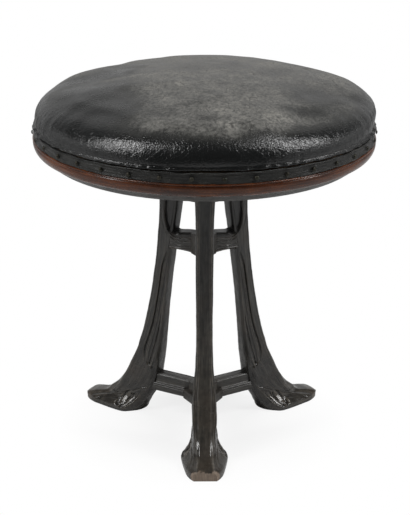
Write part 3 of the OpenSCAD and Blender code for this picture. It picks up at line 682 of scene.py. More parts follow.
def leg_surface(sizes, t, q, whole_toe):
    """Bare surface of a leg that lies along +X, and its place between inner and outer radius. t runs round
    half the section from the middle of the inner face (0) to the middle of the outer face (LAST_PLACE),
    q is the height as a share of the leg's."""
    shaft, leaf = np.array(SHAFT_SECTION), np.array(LEAF_SECTION)
    if whole_toe:
        leaf[-len(TIP_PLACES):] = TIP_PLACES
    steps = np.arange(len(shaft))
    leafness = np.clip(curve(LEG_OUTLINE, q, 5), 0, 1)
    a, b = (
        (1 - leafness) * np.interp(t, steps, shaft[:, i]) + leafness * np.interp(t, steps, leaf[:, i])
        for i in (0, 1)
    )
    inner = sizes.foot_reach * curve(LEG_OUTLINE, q, 1)
    outer = sizes.foot_reach * curve(LEG_OUTLINE, q, 2)
    if whole_toe:
        outer = outer - lookup(TIP_BACK, q)
    foot = np.maximum(0, curve(LEG_OUTLINE, np.minimum(1, q + TOE_SLOPE * a), 4))
    half = sizes.leg_width / 2 * curve(LEG_OUTLINE, q, 3) + sizes.foot_width / 2 * foot
    back = TOE_ROUND * lookup(TOE_FADE, q) * np.interp(t, steps, TOE_BACK)
    return inner + (outer - inner) * a - back, half * b, sizes.leg_height * q, a


def near_line(line, r, z):
    """Distance from points (r, z) to a line of points, how far along it they are, and on which side."""
    best = np.full(r.shape, 1e9)
    along = np.zeros(r.shape)
    side = np.zeros(r.shape)
    total = sum(math.dist(p, n) for p, n in zip(line, line[1:]))
    run = 0
    for p, n in zip(line, line[1:]):
        dx, dz = n[0] - p[0], n[1] - p[1]
        length = math.hypot(dx, dz)
        s = np.clip(((r - p[0]) * dx + (z - p[1]) * dz) / length**2, 0, 1)
        d = np.hypot(r - p[0] - s * dx, z - p[1] - s * dz)
        closer = d < best
        best = np.where(closer, d, best)
        along = np.where(closer, (run + s * length) / total, along)
        side = np.where(closer, np.sign((r - p[0]) * dz - (z - p[1]) * dx), side)
        run += length
    return best, along, side


def sweep_depth(r, z):
    """Depth of the lines that sweep across the joint of a leg and the upper stretcher."""
    depth = np.zeros(r.shape)
    for line, wide, cut in SWEEPS:
        d, along, _ = near_line(line, r, z)
        depth += cut * (bump(d, 0, wide) - 0.3 * bump(d, 1.6 * wide, wide)) * smooth_step(0, 0.12, along)
    return depth


def facet_depth(r, w, z):
    """Depth of the two facets with a groove round each, and how far a point lies on a facet."""
    nearest = np.full(r.shape, 1e9)
    depth, flat = np.zeros(r.shape), np.zeros(r.shape)
    for line, half_width, foot in FACETS:
        d, along, _ = near_line(line, r, z)
        clear = d - half_width * np.sin(math.pi * (0.06 + 0.80 * along)) ** 0.7
        level = (w - foot + 0.75 * (z - 9.2) - 0.02 * (r - 108)) * 0.80
        cut = np.clip(level, 0, FACET_DEEPEST) * fall(0.8, 3.6, clear) + 0.5 * bump(clear, 1.4, 1.0)
        depth = np.where(clear < nearest, cut, depth)
        flat = np.maximum(flat, fall(-0.5, 0.3, clear))
        nearest = np.minimum(nearest, clear)
    return depth, flat


def panel_depth(a, z):
    """Depth of the long side panel with its tendons."""
    edge = lookup(PANEL_OUTER, z)
    inside = smooth_step(0.0, 0.075, edge - a) * window(z, 62, 70, 229, 237)
    width = np.maximum(edge, 0.08)
    share = np.clip(a / width, 0, 1)
    line = lookup(TENDON_LINE, z) / width
    tendons = 1.0 - 0.75 * bump(share, (line + 1) / 2 + 0.03, np.maximum(0.12, (1 - line) / 2 * 0.75))
    tendons += 0.5 * bump(share, line, 0.06) - 0.65 * bump(share, line - 0.25, 0.22)
    for place, cut in TENDON_GROOVES:
        tendons += cut * bump(share, line + (1 - line) * place, 0.035)
    return PANEL_DEPTH * inside * np.clip(tendons, 0, 1.6)


def carving_depth(t, a, r, w, z, facing, front):
    """How deep the carver has cut below the bare surface at radius r, offset w and height z, all in
    millimetres, and how far a point lies on a facet. Facing is 1 where the surface looks outward or up, 0
    where it looks to the side, front is 1 for the front leg."""
    depth = panel_depth(a, z)
    # scooped window above the upper stretcher
    inside = smooth_step(0.0, 0.10, lookup(SCOOP_OUTER, z) - a) * smooth_step(256.5, 262, z)
    depth += SCOOP_DEPTH * inside * (0.55 + 0.45 * smooth_step(0.05, 0.14, a)) + sweep_depth(r, z)
    d, along, side = near_line(CREASE, r, z)
    crease = CREASE_DEPTH * bump(d, 0, 1.5) - 0.6 * bump(d, 2.6, 2.2) * (side > 0)
    depth += crease * window(along, 0, 0.12, 0.85, 1)
    # beads along the edge between the outer face and the side
    shaft = window(z, 70, 100, 352, 358)
    depth += shaft * (OUTER_BEAD * bump(t, 17.75, 0.5) + SIDE_BEAD * bump(t, 14.6, 0.5))
    depth += FOOT_BEAD * bump(t, 16.0, 0.35) * shaft * fall(90, 150, z)
    # flutes that run down the instep and out over the toe
    facets, flat = facet_depth(r, w, z)
    wander = drift(np.stack([w * 0.4, 0 * w, z * 0.7], axis=-1), 9, 13)
    sole = 12 * front
    fan = facing * (1 - flat) * window(z, sole, 3 + sole, 60, 150) * (1 + 0.6 * smooth_step(28, 70, z))
    fan += 0.6 * front * (1 - facing) * window(z, 4, 8, 35, 60)
    flutes = lookup(INSTEP, w * (1 - 0.3 * smooth_step(136, 165, r)) + 0.5 * wander) * (1 + 0.3 * wander)
    depth = depth * (1 - 0.6 * facing * fall(45, 75, z)) + flutes * fan
    depth += facets * window(z, 3, 7, 21, 28)
    for notch_r, notch_z, size in NOTCHES:
        depth += NOTCH_DEPTH * bump(np.hypot(r - notch_r, (z - notch_z) * 0.45), 0, size)
    # the middle of the inner face stays plain
    return depth * smooth_step(2.5, 4.2, t), flat


def normals_of(shape):
    """Unit normals of a rolled sheet, whose first and last columns meet."""
    across = np.gradient(shape, axis=1)
    across[:, 0] = across[:, -1] = shape[:, 1] - shape[:, -2]
    normal = np.cross(across, np.gradient(shape, axis=0))
    return normal / np.maximum(np.linalg.norm(normal, axis=2, keepdims=True), 1e-12)


def carved_leg(name, sizes, whole_toe):
    """One leg along +X: a sheet that is rolled into a tube, with the carving cut below its surface."""
    piece, u, v = sheet(name, 2 * LEG_COLUMNS, LEG_ROWS)
    turn = u * 2 * LEG_COLUMNS
    order = np.lexsort((np.round(turn).astype(int), np.round(v * LEG_ROWS).astype(int)))
    turn, v = (values[order].reshape(LEG_ROWS + 1, 2 * LEG_COLUMNS + 1) for values in (turn, v))
    # rows lie closer together in the foot
    q = 0.42 * v + 0.58 * v**2.1
    side = np.where(turn <= LEG_COLUMNS, -1.0, 1.0)
    t = np.where(turn <= LEG_COLUMNS, turn, 2 * LEG_COLUMNS - turn) / LEG_COLUMNS * LAST_PLACE
    x, y, z, a = leg_surface(sizes, t, q, whole_toe)
    shape = np.stack([x, side * y, z], axis=-1)
    normal = normals_of(shape)
    facing = smooth_step(0.15, 0.6, 0.8 * normal[..., 0] + normal[..., 2])
    cut, facet = carving_depth(t, a, x / MM, y / MM, z / MM, facing, 0 if whole_toe else 1)
    cut = cut * smooth_step(0.5, 3, z / MM)
    # soften the cuts as a rubbed surface is
    soft = (cut + np.roll(cut, 1, 0) + np.roll(cut, -1, 0)) / 3
    soft[0], soft[-1] = cut[0], cut[-1]
    uneven = hand_worked(shape) * (1 - 0.9 * facet) * smooth_step(2, 8, z / MM)
    shape = shape - normal * ((soft + uneven) * MM)[..., None]
    # lean on the block at the top
    block = sizes.block_width / 2
    leaning = (shape[..., 2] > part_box("top_block")[0].z) & (shape[..., 0] < block)
    shape[..., 0] = np.where(leaning, block, shape[..., 0])
    shape[..., 2] = np.clip(shape[..., 2], 0, sizes.leg_height)
    shape[0, :, 2] = 0
    shape[-1, :, 2] = sizes.leg_height
    numbers = leg_marks(t, a, shape, soft, facing, facet)
    # the front toe has broken off and shows the bare wood
    height = shape[..., 2] / MM
    ragged = height + 1.6 * drift(shape, 0.0045, 5) + 0.9 * drift(shape, 0.0018, 6)
    bare = smooth_step(BROKEN_END, BROKEN_END + 0.01, shape[..., 0] / sizes.foot_reach)
    bare *= fall(BROKEN_TOP - 1, BROKEN_TOP, ragged)
    numbers["bare"] = bare * (0.15 if whole_toe else 1)
    # the fibres run along the leg's outer edge
    shares = np.linspace(0, 1, 600)
    edge = np.stack([sizes.foot_reach * curve(LEG_OUTLINE, shares, 2), sizes.leg_height * shares], axis=1)
    run = np.concatenate([[0], np.cumsum(np.linalg.norm(np.diff(edge, axis=0), axis=1))])
    flow = np.stack([side * y, np.interp(q, shares, edge[:, 0]) - x, np.interp(q, shares, run)], axis=-1)

    back = np.argsort(order)
    place_points(piece, shape.reshape(-1, 3)[back])
    for key, values in numbers.items():
        paint_number(piece, key, values.ravel()[back])
    paint_places(piece, "flow", flow.reshape(-1, 3)[back])
    close_tube(piece)
    shade(piece, 50)
    return piece


def leg_marks(t, a, shape, soft, facing, facet):
    """Wear on the ridges with a lighter tone painted as a highlight on the facets, darkening in the cuts,
    painted shade in the scoop and high on the outer face, and the polish low down.
    """
    z = shape[..., 2] / MM
    ridge = soft - (np.roll(soft, 2, 1) + np.roll(soft, -2, 1)) / 2
    # wear on the ridges; the outer face's edges are lighter from wear and a painted highlight, and the
    # foot's facets get a lighter tone painted as their highlight
    worn_and_highlighted = np.maximum(np.clip(-ridge * 1.8, 0, 1) + 0.9 * bump(t, 16.9, 0.6), 0.75 * facet)
    worn_and_highlighted += 0.8 * bump(z, 4.5, 1.2) * (1 - facing) + 0.30 * bump(t, 17.5, 0.8) * smooth_step(60, 100, z)
    worn_and_highlighted += 0.24 * fall(120, 210, z) * facing
    # darker in the cuts, the deeper the darker, but not on the facets
    dark = np.clip(ridge * 0.9 + soft * 0.13 - 0.08, 0, 0.8) * (1 - facet)
    # painted shade: the scooped window is painted deep black, as the seat shades it
    scoop = smooth_step(0.0, 0.12, lookup(SCOOP_OUTER, z) - a) * smooth_step(252, 262, z)
    dark = np.maximum(dark, 0.55 * scoop)
    # painted shade: the middle of the outer face is darkened towards the top, under the seat
    dark = np.maximum(dark, 0.42 * smooth_step(150, 240, z) * smooth_step(18.0, 19.0, t))
    return {"wear_and_highlight": np.clip(worn_and_highlighted, 0, 1) * (1 - 0.7 * scoop), "darkening_and_shade": dark, "polish": fall(45, 110, z)}


# Sizes and colours that a user may change


def length(name, description, default):
    return bpy.props.FloatProperty(name=name, description=description, default=default, unit="LENGTH")


def colour(name, description, default):
    limits = {"subtype": "COLOR", "min": 0, "max": 1}
    return bpy.props.FloatVectorProperty(name=name, description=description, default=default, **limits)


LEG_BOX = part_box("front_leg")


class StoolSizes(bpy.types.PropertyGroup):
    leg_height: length("Leg height", "Height of the carved legs", LEG_BOX[1].z)
    leg_width: length("Leg width", "Width across a leg's shaft", 0.021)
    foot_reach: length("Reach of a toe", "From the stool's axis to the tip of a toe", -LEG_BOX[0].y)
    foot_width: length("Foot width", "Greatest width of a foot", LEG_BOX[1].x - LEG_BOX[0].x)
    block_width: length("Block width", "Width of the top block between its flats", 0.066)
    screw_diameter: length("Screw diameter", "Outer diameter of the seat's screw", 0.018)
    screw_pitch: length("Screw pitch", "Rise of the seat in one turn", 0.006)
    crown_height: length("Crown height", "Height of the cushion above its widest line", 0.0615)
    swell: length("Swell", "Most that a point of the leather may move in the cloth simulation", 0.0025)


class StoolColours(bpy.types.PropertyGroup):
    ebony_dark: colour("Ebonised wood, dark", "Deep black of the stained wood", (0.005, 0.005, 0.0045))
    ebony_mid: colour("Ebonised wood, middle", "Black of the stained wood", (0.019, 0.018, 0.016))
    ebony_light: colour("Ebonised wood, light", "Greyed black along the fibres", (0.046, 0.043, 0.037))
    ebony_brown: colour("Ebonised wood, brown", "Brown that shows through the stain", (0.036, 0.027, 0.020))
    ebony_worn_and_highlight: colour("Worn edges", "Rubbed edges of the carving", (0.085, 0.074, 0.060))
    bare_dark: colour("Bare wood, dark", "Dark fibres of the worn toe", (0.11, 0.078, 0.055))
    bare_light: colour("Bare wood, light", "Light fibres of the worn toe", (0.24, 0.185, 0.14))
    rail_dark: colour("Rail, dark", "Darkest figure of the polished rail", (0.012, 0.005, 0.003))
    rail_mid: colour("Rail, middle", "Red-brown of the polished rail", (0.060, 0.017, 0.006))
    rail_light: colour("Rail, light", "Lightest figure of the polished rail", (0.16, 0.052, 0.016))
    leather_dark: colour("Leather, dark", "Black of the unworn leather", (0.005, 0.0055, 0.0055))
    leather_mid: colour("Leather, middle", "Greyed leather", (0.026, 0.026, 0.024))
    leather_dust_and_sheen: colour("Leather, dusty", "Rubbed and dusty leather on the crown", (0.118, 0.115, 0.106))
    leather_brown: colour("Leather, brown", "Brown of the worn folds at the edge", (0.030, 0.018, 0.012))
    leather_scuff: colour("Leather, scuffs", "Small light scuffs", (0.15, 0.14, 0.12))
    band_light: colour("Band, light", "Rubbed parts of the leather band", (0.028, 0.027, 0.024))
    nail: colour("Nails", "Tarnished heads of the nails", (0.038, 0.034, 0.026))


# Operators


class MakeLegs(bpy.types.Operator):
    """Carves the three legs with their feet"""

    bl_idname = "stool.legs"
    bl_label = "Carved legs"

    def execute(self, context):
        sizes = context.scene.stool_sizes
        # the two side feet are alike
        front = carved_leg("leg_front_carved", sizes, whole_toe=False)
        left = carved_leg("leg_left_carved", sizes, whole_toe=True)
        right = copy_of(left, "leg_right_carved")
        for leg, (place, degrees) in zip((front, left, right), LEG_ANGLES.items()):
            turn_to(leg, degrees)
            finish_piece(leg, "base", "ebonised_wood", "leg_wood", place + "_leg")
        return {"FINISHED"}


def edge_wear(piece, amount):
    """Paints wear on the convex edges of a piece and none elsewhere, from the angle between its faces."""
    mesh = piece.data
    mesh.update()
    total = np.zeros((len(mesh.vertices), 3))
    count = np.zeros(len(mesh.vertices))
    for polygon in mesh.polygons:
        normal = np.array(polygon.normal)
        for v in polygon.vertices:
            total[v] += normal
            count[v] += 1
    spread = 1 - np.linalg.norm(total, axis=1) / np.maximum(count, 1)
    paint_number(piece, "wear_and_highlight", np.clip(spread * 9, 0, 1) * amount)
    paint_places(piece, "flow", points_of(piece))
    for name in ("darkening_and_shade", "bare", "polish"):
        paint_number(piece, name, np.zeros(len(mesh.vertices)))


def mirrored(side):
    """Closes a half section with its mirror image."""
    return side + [(-y, z) for y, z in reversed(side)]


class MakeUpperStretcher(bpy.types.Operator):
    """Makes the three arms of the upper stretcher and their hub"""

    bl_idname = "stool.upper_stretcher"
    bl_label = "Upper stretcher"

    def execute(self, context):
        low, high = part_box("upper_arm_front")
        hub_low, hub_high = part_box("upper_hub")
        half = (high.x - low.x) / 2
        top, bottom = high.z - 0.006, low.z
        start, end = hub_high.y - 0.003, -low.y - 0.004
        chamfer, steps = 0.0025, 26
        arch, haunch, flare = 0.0018, 0.0030, 0.006
        upright = np.linspace(bottom + chamfer, top - chamfer, steps + 1)
        side = [(half - chamfer, bottom)] + [(half, z) for z in upright] + [(half - chamfer, top)]
        arm = bar("upper_arm_carved", mirrored(side), start, end, cuts=60)
        at = points_of(arm)
        u = (at[:, 0] - start) / (end - start)
        lift = np.clip((at[:, 2] - bottom) / (top - bottom), 0, 1)
        at[:, 2] += arch * np.sin(math.pi * u) * (1 - lift) + haunch * fall(0.1, 0.75, u) * lift
        at[:, 2] += flare * smooth_step(0.60, 1.0, u) ** 1.5 * lift
        outer = smooth_step(half - 0.0012, half - 0.0002, np.abs(at[:, 1]))
        # the arm narrows to the width of the hub's flat
        flat = hub_high.y * math.tan(SIXTH) / half
        at[:, 1] *= flat + (1 - flat) * np.clip((at[:, 0] - hub_high.y) / 0.014, -0.2, 1)
        swept = outer * sweep_depth(at[:, 0] / MM, at[:, 2] / MM) * MM
        at[:, 1] += np.sign(at[:, 1]) * (0.0006 * smooth_step(0.4, 1, u) - swept)
        at += 0.5 * hand_worked(at)[:, None] * MM * np.array([0, 1, 1])
        place_points(arm, at)
        edge_wear(arm, 0.7)
        # painted shade: the top of the arm is darkened, as the seat shades it
        paint_number(arm, "darkening_and_shade", 0.75 * smooth_step(top - 0.004, top - 0.001, at[:, 2]))
        shade(arm, 35)
        set_at_legs(arm, "upper_arm")
        boss = six_sided("upper_hub_carved", (hub_high.y - hub_low.y) / 2, bottom, hub_high.z)
        rounded(boss, 0.0006, 2, 50)
        edge_wear(boss, 0.8)
        shade(boss)
        finish_piece(boss, "base", "ebonised_wood", "arm_wood", "upper_hub")
        return {"FINISHED"}


# Moulding of a lower arm in millimetres: back from the side of its band and up from the ledge, and back
# from the side of its neck and down from the top
BAND_MOULDING = [(0, -4.2), (0.7, -3.4), (0, -2.6), (-0.2, -1.4), (0.6, -0.4), (2.2, 0)]
NECK_MOULDING = [(0, 3), (-0.3, 1.2), (0.8, 0), (2.2, 0), (2.9, 0.9), (3.6, 0)]
NECK_SET_BACK, LEDGE_SHARE, BOSS_SET_BACK = 0.003, 0.52, 0.0085


class MakeLowerStretcher(bpy.types.Operator):
    """Makes the three stepped arms of the lower stretcher and their hub"""

    bl_idname = "stool.lower_stretcher"
    bl_label = "Lower stretcher"

    def execute(self, context):
        low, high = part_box("lower_arm_front")
        hub_low, hub_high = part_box("lower_hub")
        half = (high.x - low.x) / 2
        neck = half - NECK_SET_BACK
        bottom, top = low.z, high.z
        ledge = bottom + LEDGE_SHARE * (top - bottom)
        upper = [(neck - back * MM, top - down * MM) for back, down in NECK_MOULDING]
        side = [(half - 0.002, bottom), (half, bottom + 0.002)]
        side += [(half - back * MM, ledge + up * MM) for back, up in BAND_MOULDING]
        side += [(neck, ledge + 0.0016)] + upper
        start, end = hub_high.y - 0.0005, -low.y - 0.004
        arm = bar("lower_arm_carved", mirrored(side), start, end, cuts=24)
        # the neck runs on over the hub's ledge, a hair narrower
        hair = 0.0001
        narrow = [(neck - hair, ledge - 0.001)] + [(y - hair, z - hair) for y, z in upper]
        band = bar("lower_arm_band", mirrored(narrow), -high.y - 0.0005, start + 0.002, cuts=2)
        only(arm)
        band.select_set(True)
        bpy.ops.object.join()
        rounded(arm, 0.0004)
        at = points_of(arm)
        at += 0.7 * hand_worked(at)[:, None] * MM * np.array([0, 1, 1])
        place_points(arm, at)
        edge_wear(arm, 0.8)
        shade(arm)
        set_at_legs(arm, "lower_arm")
        block = six_sided("lower_hub_carved", hub_high.y, bottom, ledge)
        # a smaller boss below and a narrower part above the ledge are drawn out of its two ends
        ends = (-1, BOSS_SET_BACK, hub_low.z - bottom), (1, hub_high.y + high.y, top - ledge)
        for way, inset, drawn in ends:
            edit_all(
                block,
                lambda: bpy.ops.mesh.select_mode(type="FACE"),
                lambda: bpy.ops.mesh.select_all(action="DESELECT"),
            )
            for face in block.data.polygons:
                face.select = face.normal.z * way > 0.9
            bpy.ops.object.mode_set(mode="EDIT")
            bpy.ops.mesh.inset(thickness=inset, depth=0)
            bpy.ops.mesh.extrude_region_move(TRANSFORM_OT_translate={"value": (0, 0, drawn)})
            bpy.ops.object.mode_set(mode="OBJECT")
        rounded(block, 0.0011, 3, 35)
        edge_wear(block, 1.0)
        shade(block)
        finish_piece(block, "base", "ebonised_wood", "arm_wood", "lower_hub")
        return {"FINISHED"}


THREAD_DEPTH = 0.0013
THREAD_COLUMNS, ROWS_A_TURN = 48, 12


class MakeIron(bpy.types.Operator):
    """Cuts the thread of the screw and finishes the other iron and steel parts"""

    bl_idname = "stool.iron"
    bl_label = "Screw and iron parts"

    def execute(self, context):
        sizes = context.scene.stool_sizes
        low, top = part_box("seat_screw")[0].z, node_top("buffer_washer")
        rows = int((top - low) / sizes.screw_pitch * ROWS_A_TURN)
        screw, u, v = sheet("seat_screw_threaded", THREAD_COLUMNS, rows)
        z = low + v * (top - low)
        phase = (z / sizes.screw_pitch - u) % 1
        threaded = window(z, low, low + 0.004, top - 0.004, top - 0.001)
        groove = THREAD_DEPTH * smooth_step(0.12, 0.30, np.abs(phase - 0.5)) * threaded
        r = sizes.screw_diameter / 2 - groove - 0.002 * fall(low, low + 0.002, z)
        place_points(screw, np.stack([r * np.cos(u * math.tau), r * np.sin(u * math.tau), z], axis=1))
        close_tube(screw)
        shade(screw, 35)
        finish_piece(screw, "seat", "screw_steel", "steel", "seat_screw")
        for node in ("screw_nut", "seat_plate"):
            give_finish(node, "iron")
        for node in ("nut_screws", "plate_screws", "board_screws"):
            give_finish(node, "steel")
        give_finish("buffer_washer", "washer")
        return {"FINISHED"}


# Outer line of the rail in millimetres: back from its widest line, up from its lower edge
RAIL_FACE = [
    (6.8, 0.0), (5.6, 0.5), (4.2, 1.5), (2.9, 3.0), (1.8, 4.8), (1.0, 6.8), (0.5, 8.8), (0.3, 10.6),
    (0.5, 12.2), (0.9, 13.1), (1.1, 13.5), (0.7, 13.9), (0.2, 14.3), (0.0, 14.9), (0.2, 15.5), (0.8, 15.9),
]
RAIL_FACE_HEIGHT, RAIL_THICKNESS = 16 * MM, 0.020


class MakeBoards(bpy.types.Operator):
    """Finishes the top block and the boards under the seat, and turns the polished rail"""

    bl_idname = "stool.boards"
    bl_label = "Boards and rail"

    def execute(self, context):
        give_finish("seat_board", "beech")
        give_finish("leg_dowels", "beech")
        give_finish("top_block", "block_wood")
        give_finish("bottom_board", "board_wood")
        low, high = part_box("seat_rail")
        inner = high.x - RAIL_THICKNESS
        scale = (high.z - low.z) / RAIL_FACE_HEIGHT
        face = [(high.x - back * MM, low.z + up * MM * scale) for back, up in RAIL_FACE]
        profile = [(inner, low.z), *face, (high.x - 0.002, high.z), (inner, high.z)]
        rail = turned("seat_rail_polished", profile, 160)
        shade(rail)
        finish_piece(rail, "seat", "polished_rail", "rail", "seat_rail")
        return {"FINISHED"}


# Worn hollows of the crown, swellings where the last number is below 0: distance out as a share of the
# radius, angle, spread as a share of the radius, depth as a share of the deepest
HOLLOWS = [
    (0.62, 221, 0.17, 1), (0.72, 250, 0.13, 0.5), (0.64, 176, 0.13, 0.7), (0.70, 340, 0.20, 0.9),
    (0.78, 305, 0.15, 0.5), (0.80, 272, 0.15, 0.5), (0.62, 122, 0.22, 0.9), (0.58, 40, 0.20, 0.4),
    (0.78, 160, 0.10, -0.4), (0.88, 284, 0.13, -0.5), (0.35, 300, 0.22, -0.4),
]
# Patches of the crown painted darker as shade, and patches painted lighter as highlights: place, spread
# along X and Y in metres, amount
PAINTED_SHADE_PATCHES = [
    (-0.138, -0.042, 0.030, 0.022, 1.00), (-0.108, -0.108, 0.022, 0.022, 0.95),
    (-0.160, -0.115, 0.045, 0.040, 0.85), (-0.145, 0.020, 0.036, 0.012, 0.90),
    (-0.108, 0.050, 0.020, 0.022, 0.65), (0.130, -0.062, 0.028, 0.028, 0.60),
    (-0.045, -0.142, 0.022, 0.009, 0.25), (0.002, -0.155, 0.008, 0.006, 0.35),
    (0.118, -0.114, 0.020, 0.009, 0.45), (0.038, 0.055, 0.006, 0.016, 0.35),
    (-0.175, -0.085, 0.025, 0.030, 0.50), (-0.178, -0.005, 0.020, 0.020, 0.30),
]
PAINTED_HIGHLIGHTS = [
    (0.048, -0.176, 0.030, 0.009, 0.12), (0.000, -0.187, 0.028, 0.006, 0.24),
    (-0.115, 0.000, 0.050, 0.006, 0.22), (0.150, -0.120, 0.020, 0.006, 0.22),
    (-0.040, -0.110, 0.030, 0.030, 0.10),
]
SKIN_CELL = 0.0055  # of the cushion's even mesh
GIVE = 0.0025  # room that the cushion keeps for the cloth simulation to fill
HOLLOW_DEPTH = 0.004
FULLER_OUT, FULLER_UP = 0.0052, 0.0020  # how much the right side stands out and up
CROWN_STEPS, CROWN_OUT, CROWN_UP = 26, 2 / 1.87, 2 / 3.13
CLOTH = {
    "quality": 5,
    "mass": 0.4,
    "tension_stiffness": 25,
    "compression_stiffness": 25,
    "shear_stiffness": 15,
    "bending_stiffness": 2.0,
    "use_pressure": True,
    "uniform_pressure_force": 4,
}
CLOTH_FRAMES = 20
EVENING_PASSES = 12


def crown_profile(radius, wide, crown):
    """Outer line of the cushion from its middle down to its widest line, as (radius, height)."""
    turns = [math.pi / 2 * (1 - i / CROWN_STEPS) ** 1.5 for i in range(CROWN_STEPS + 1)]
    return [(radius * math.cos(s) ** CROWN_OUT, wide + crown * math.sin(s) ** CROWN_UP) for s in turns]


def spots(table, x, y):
    """Sum of soft spots: place, spread along X and Y, amount."""
    total = np.zeros(len(x))
    for px, py, wide_x, wide_y, amount in table:
        total += amount * np.exp(-((x - px) ** 2 / (2 * wide_x**2) + (y - py) ** 2 / (2 * wide_y**2)))
    return total


class MakeCushion(bpy.types.Operator):
    """Stretches the leather over the stuffing"""

    bl_idname = "stool.cushion"
    bl_label = "Leather cushion"

    def execute(self, context):
        sizes = context.scene.stool_sizes
        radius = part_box("leather_cover")[1].x
        band_top = node_top("leather_band")
        wide = band_top + 0.005
        line = crown_profile(radius - GIVE, wide, sizes.crown_height - 2 * GIVE)
        foot = band_top + 0.0002
        under = [(radius - 0.0035, wide - 0.003), (radius - 0.0075, foot), (0.0, foot)]
        cushion = turned("leather_cushion", line + under, 120)
        modify(cushion, "Even skin", "REMESH", mode="VOXEL", voxel_size=SKIN_CELL)
        modify(cushion, "Even bumps", "SMOOTH", factor=0.5, iterations=6)
        swell(cushion, band_top + 0.004, sizes.swell)
        modify(cushion, "Finer skin", "SUBSURF", levels=1, render_levels=1)
        work_leather(cushion, radius, wide)
        only(cushion)
        bpy.ops.object.shade_smooth()
        finish_piece(cushion, "seat", "cover_leather", "cover", "leather_cover", "stuffing_pad")
        return {"FINISHED"}


def work_leather(cushion, radius, wide):
    """Presses in the worn hollows and the folds at the edge, and paints the dust with painted sheen,
    highlights and shade, and where the wrinkles run.
    """
    at = points_of(cushion)
    x, y, z = at.T
    r, angle = np.hypot(x, y), np.arctan2(y, x)
    top = smooth_step(wide + 0.010, wide + 0.034, z)
    hollows = []
    for out, turn, spread, share in HOLLOWS:
        way = radius * out * np.array([math.cos(math.radians(turn)), math.sin(math.radians(turn))])
        hollows.append((*way, spread * radius, spread * radius, share))
    z = z - HOLLOW_DEPTH * top * spots(hollows, x, y) * np.clip(6 * (1 - r / radius), 0, 1)
    z = z + top * MM * (0.9 * drift(at, 0.045, 3) + 0.45 * drift(at, 0.018, 4))
    # drawn folds low on the left and right, and the slow waves of the side
    side = smooth_step(wide + 0.045, wide + 0.004, z) * smooth_step(0.75 * radius, 0.93 * radius, r)
    ends = np.cos(angle) ** 2 * (y < 0.08)
    round_edge = np.stack([angle * 0.2, z * 0.10, 0 * z], axis=1)
    fold = 0.75 * drift(round_edge, 0.0052, 7) + 0.5 * drift(round_edge, 0.0028, 8)
    slow = 0.9 * drift(np.stack([angle * 0.2, z, 0 * z], axis=1), 0.05, 9)
    out = side * MM * (slow + fold * (0.05 + 1.05 * ends))
    x, y = x + out * np.cos(angle), y + out * np.sin(angle)
    # the lower edge stands square on the band
    square = smooth_step(radius - 0.009, radius - 0.004, r) * (z < wide)
    grow = 1 + square * np.maximum(0, radius - 0.0008 - r) / np.maximum(r, 0.1)
    x, y = x * grow, y * grow
    # the stuffing is fuller at the right
    full = bell(angle, 0.2, 0.6) * smooth_step(wide, wide + 0.020, z)
    full *= smooth_step(0.65 * radius, 0.88 * radius, r)
    push = FULLER_OUT * full
    x, y, z = x + push * np.cos(angle), y + push * np.sin(angle), z + FULLER_UP * full
    # the cushion stays close to the leather's own box
    over = np.maximum(1, np.hypot(x, y) / (radius + 0.0008 + 0.0048 * full))
    place_points(cushion, np.stack([x / over, y / over, z], axis=1))

    # dust with painted sheen, lighter on the crown's top and less in the patches painted dark as shade
    dust_and_sheen = smooth_step(wide + 0.024, wide + 0.040, z + 0.004 * drift(at, 0.03, 10))
    dust_and_sheen *= 0.84 + 0.20 * (0.5 + 0.5 * drift(at, 0.05, 11) + 0.25 * drift(at, 0.02, 12))
    # painted shade: the patches take the dust and sheen away
    dust_and_sheen *= 1 - np.clip(spots(PAINTED_SHADE_PATCHES, x, y), 0, 0.92)
    # patches painted lighter as highlights on the crown
    painted_highlight = spots(PAINTED_HIGHLIGHTS, x, y) * smooth_step(wide + 0.019, wide + 0.027, z)
    paint_number(cushion, "dust_sheen_and_highlight", np.clip(dust_and_sheen + painted_highlight, 0, 1.3))
    paint_number(cushion, "pleat", side * (0.03 + 0.97 * ends))


def swell(cushion, held_below, most):
    """Fills the cushion by a short cloth simulation with its lower edge held, and caps how far it moves."""
    start = points_of(cushion)
    held = cushion.vertex_groups.new(name="nailed_edge")
    held.add([int(i) for i in np.nonzero(start[:, 2] < held_below)[0]], 1.0, "ADD")
    cloth = cushion.modifiers.new("Stuffing", "CLOTH")
    for key, value in CLOTH.items():
        setattr(cloth.settings, key, value)
    cloth.settings.vertex_group_mass = held.name
    cloth.settings.effector_weights.gravity = 0
    cloth.collision_settings.use_collision = False
    cloth.point_cache.frame_start, cloth.point_cache.frame_end = 1, CLOTH_FRAMES
    for number in range(1, CLOTH_FRAMES + 1):
        bpy.context.scene.frame_set(number)
    moved = points_of(cushion.evaluated_get(bpy.context.evaluated_depsgraph_get())) - start
    cushion.modifiers.remove(cloth)
    bpy.context.scene.frame_set(1)
    # neighbours move alike, so that the skin stays free of small dents
    edges = np.empty(len(cushion.data.edges) * 2, dtype=int)
    cushion.data.edges.foreach_get("vertices", edges)
    edges = edges.reshape(-1, 2)
    count = np.bincount(edges.ravel(), minlength=len(start))[:, None]
    for _ in range(EVENING_PASSES):
        near = np.zeros_like(moved)
        np.add.at(near, edges[:, 0], moved[edges[:, 1]])
        np.add.at(near, edges[:, 1], moved[edges[:, 0]])
        moved = 0.5 * moved + 0.5 * near / np.maximum(count, 1)
    far = np.linalg.norm(moved, axis=1, keepdims=True)
    place_points(cushion, start + moved * np.minimum(1, most / np.maximum(far, 1e-9)))


BAND_THICKNESS = 0.0035
BAND_STEPS = 12
SPLIT_ANGLE = math.atan2(-0.1734, 0.1141)


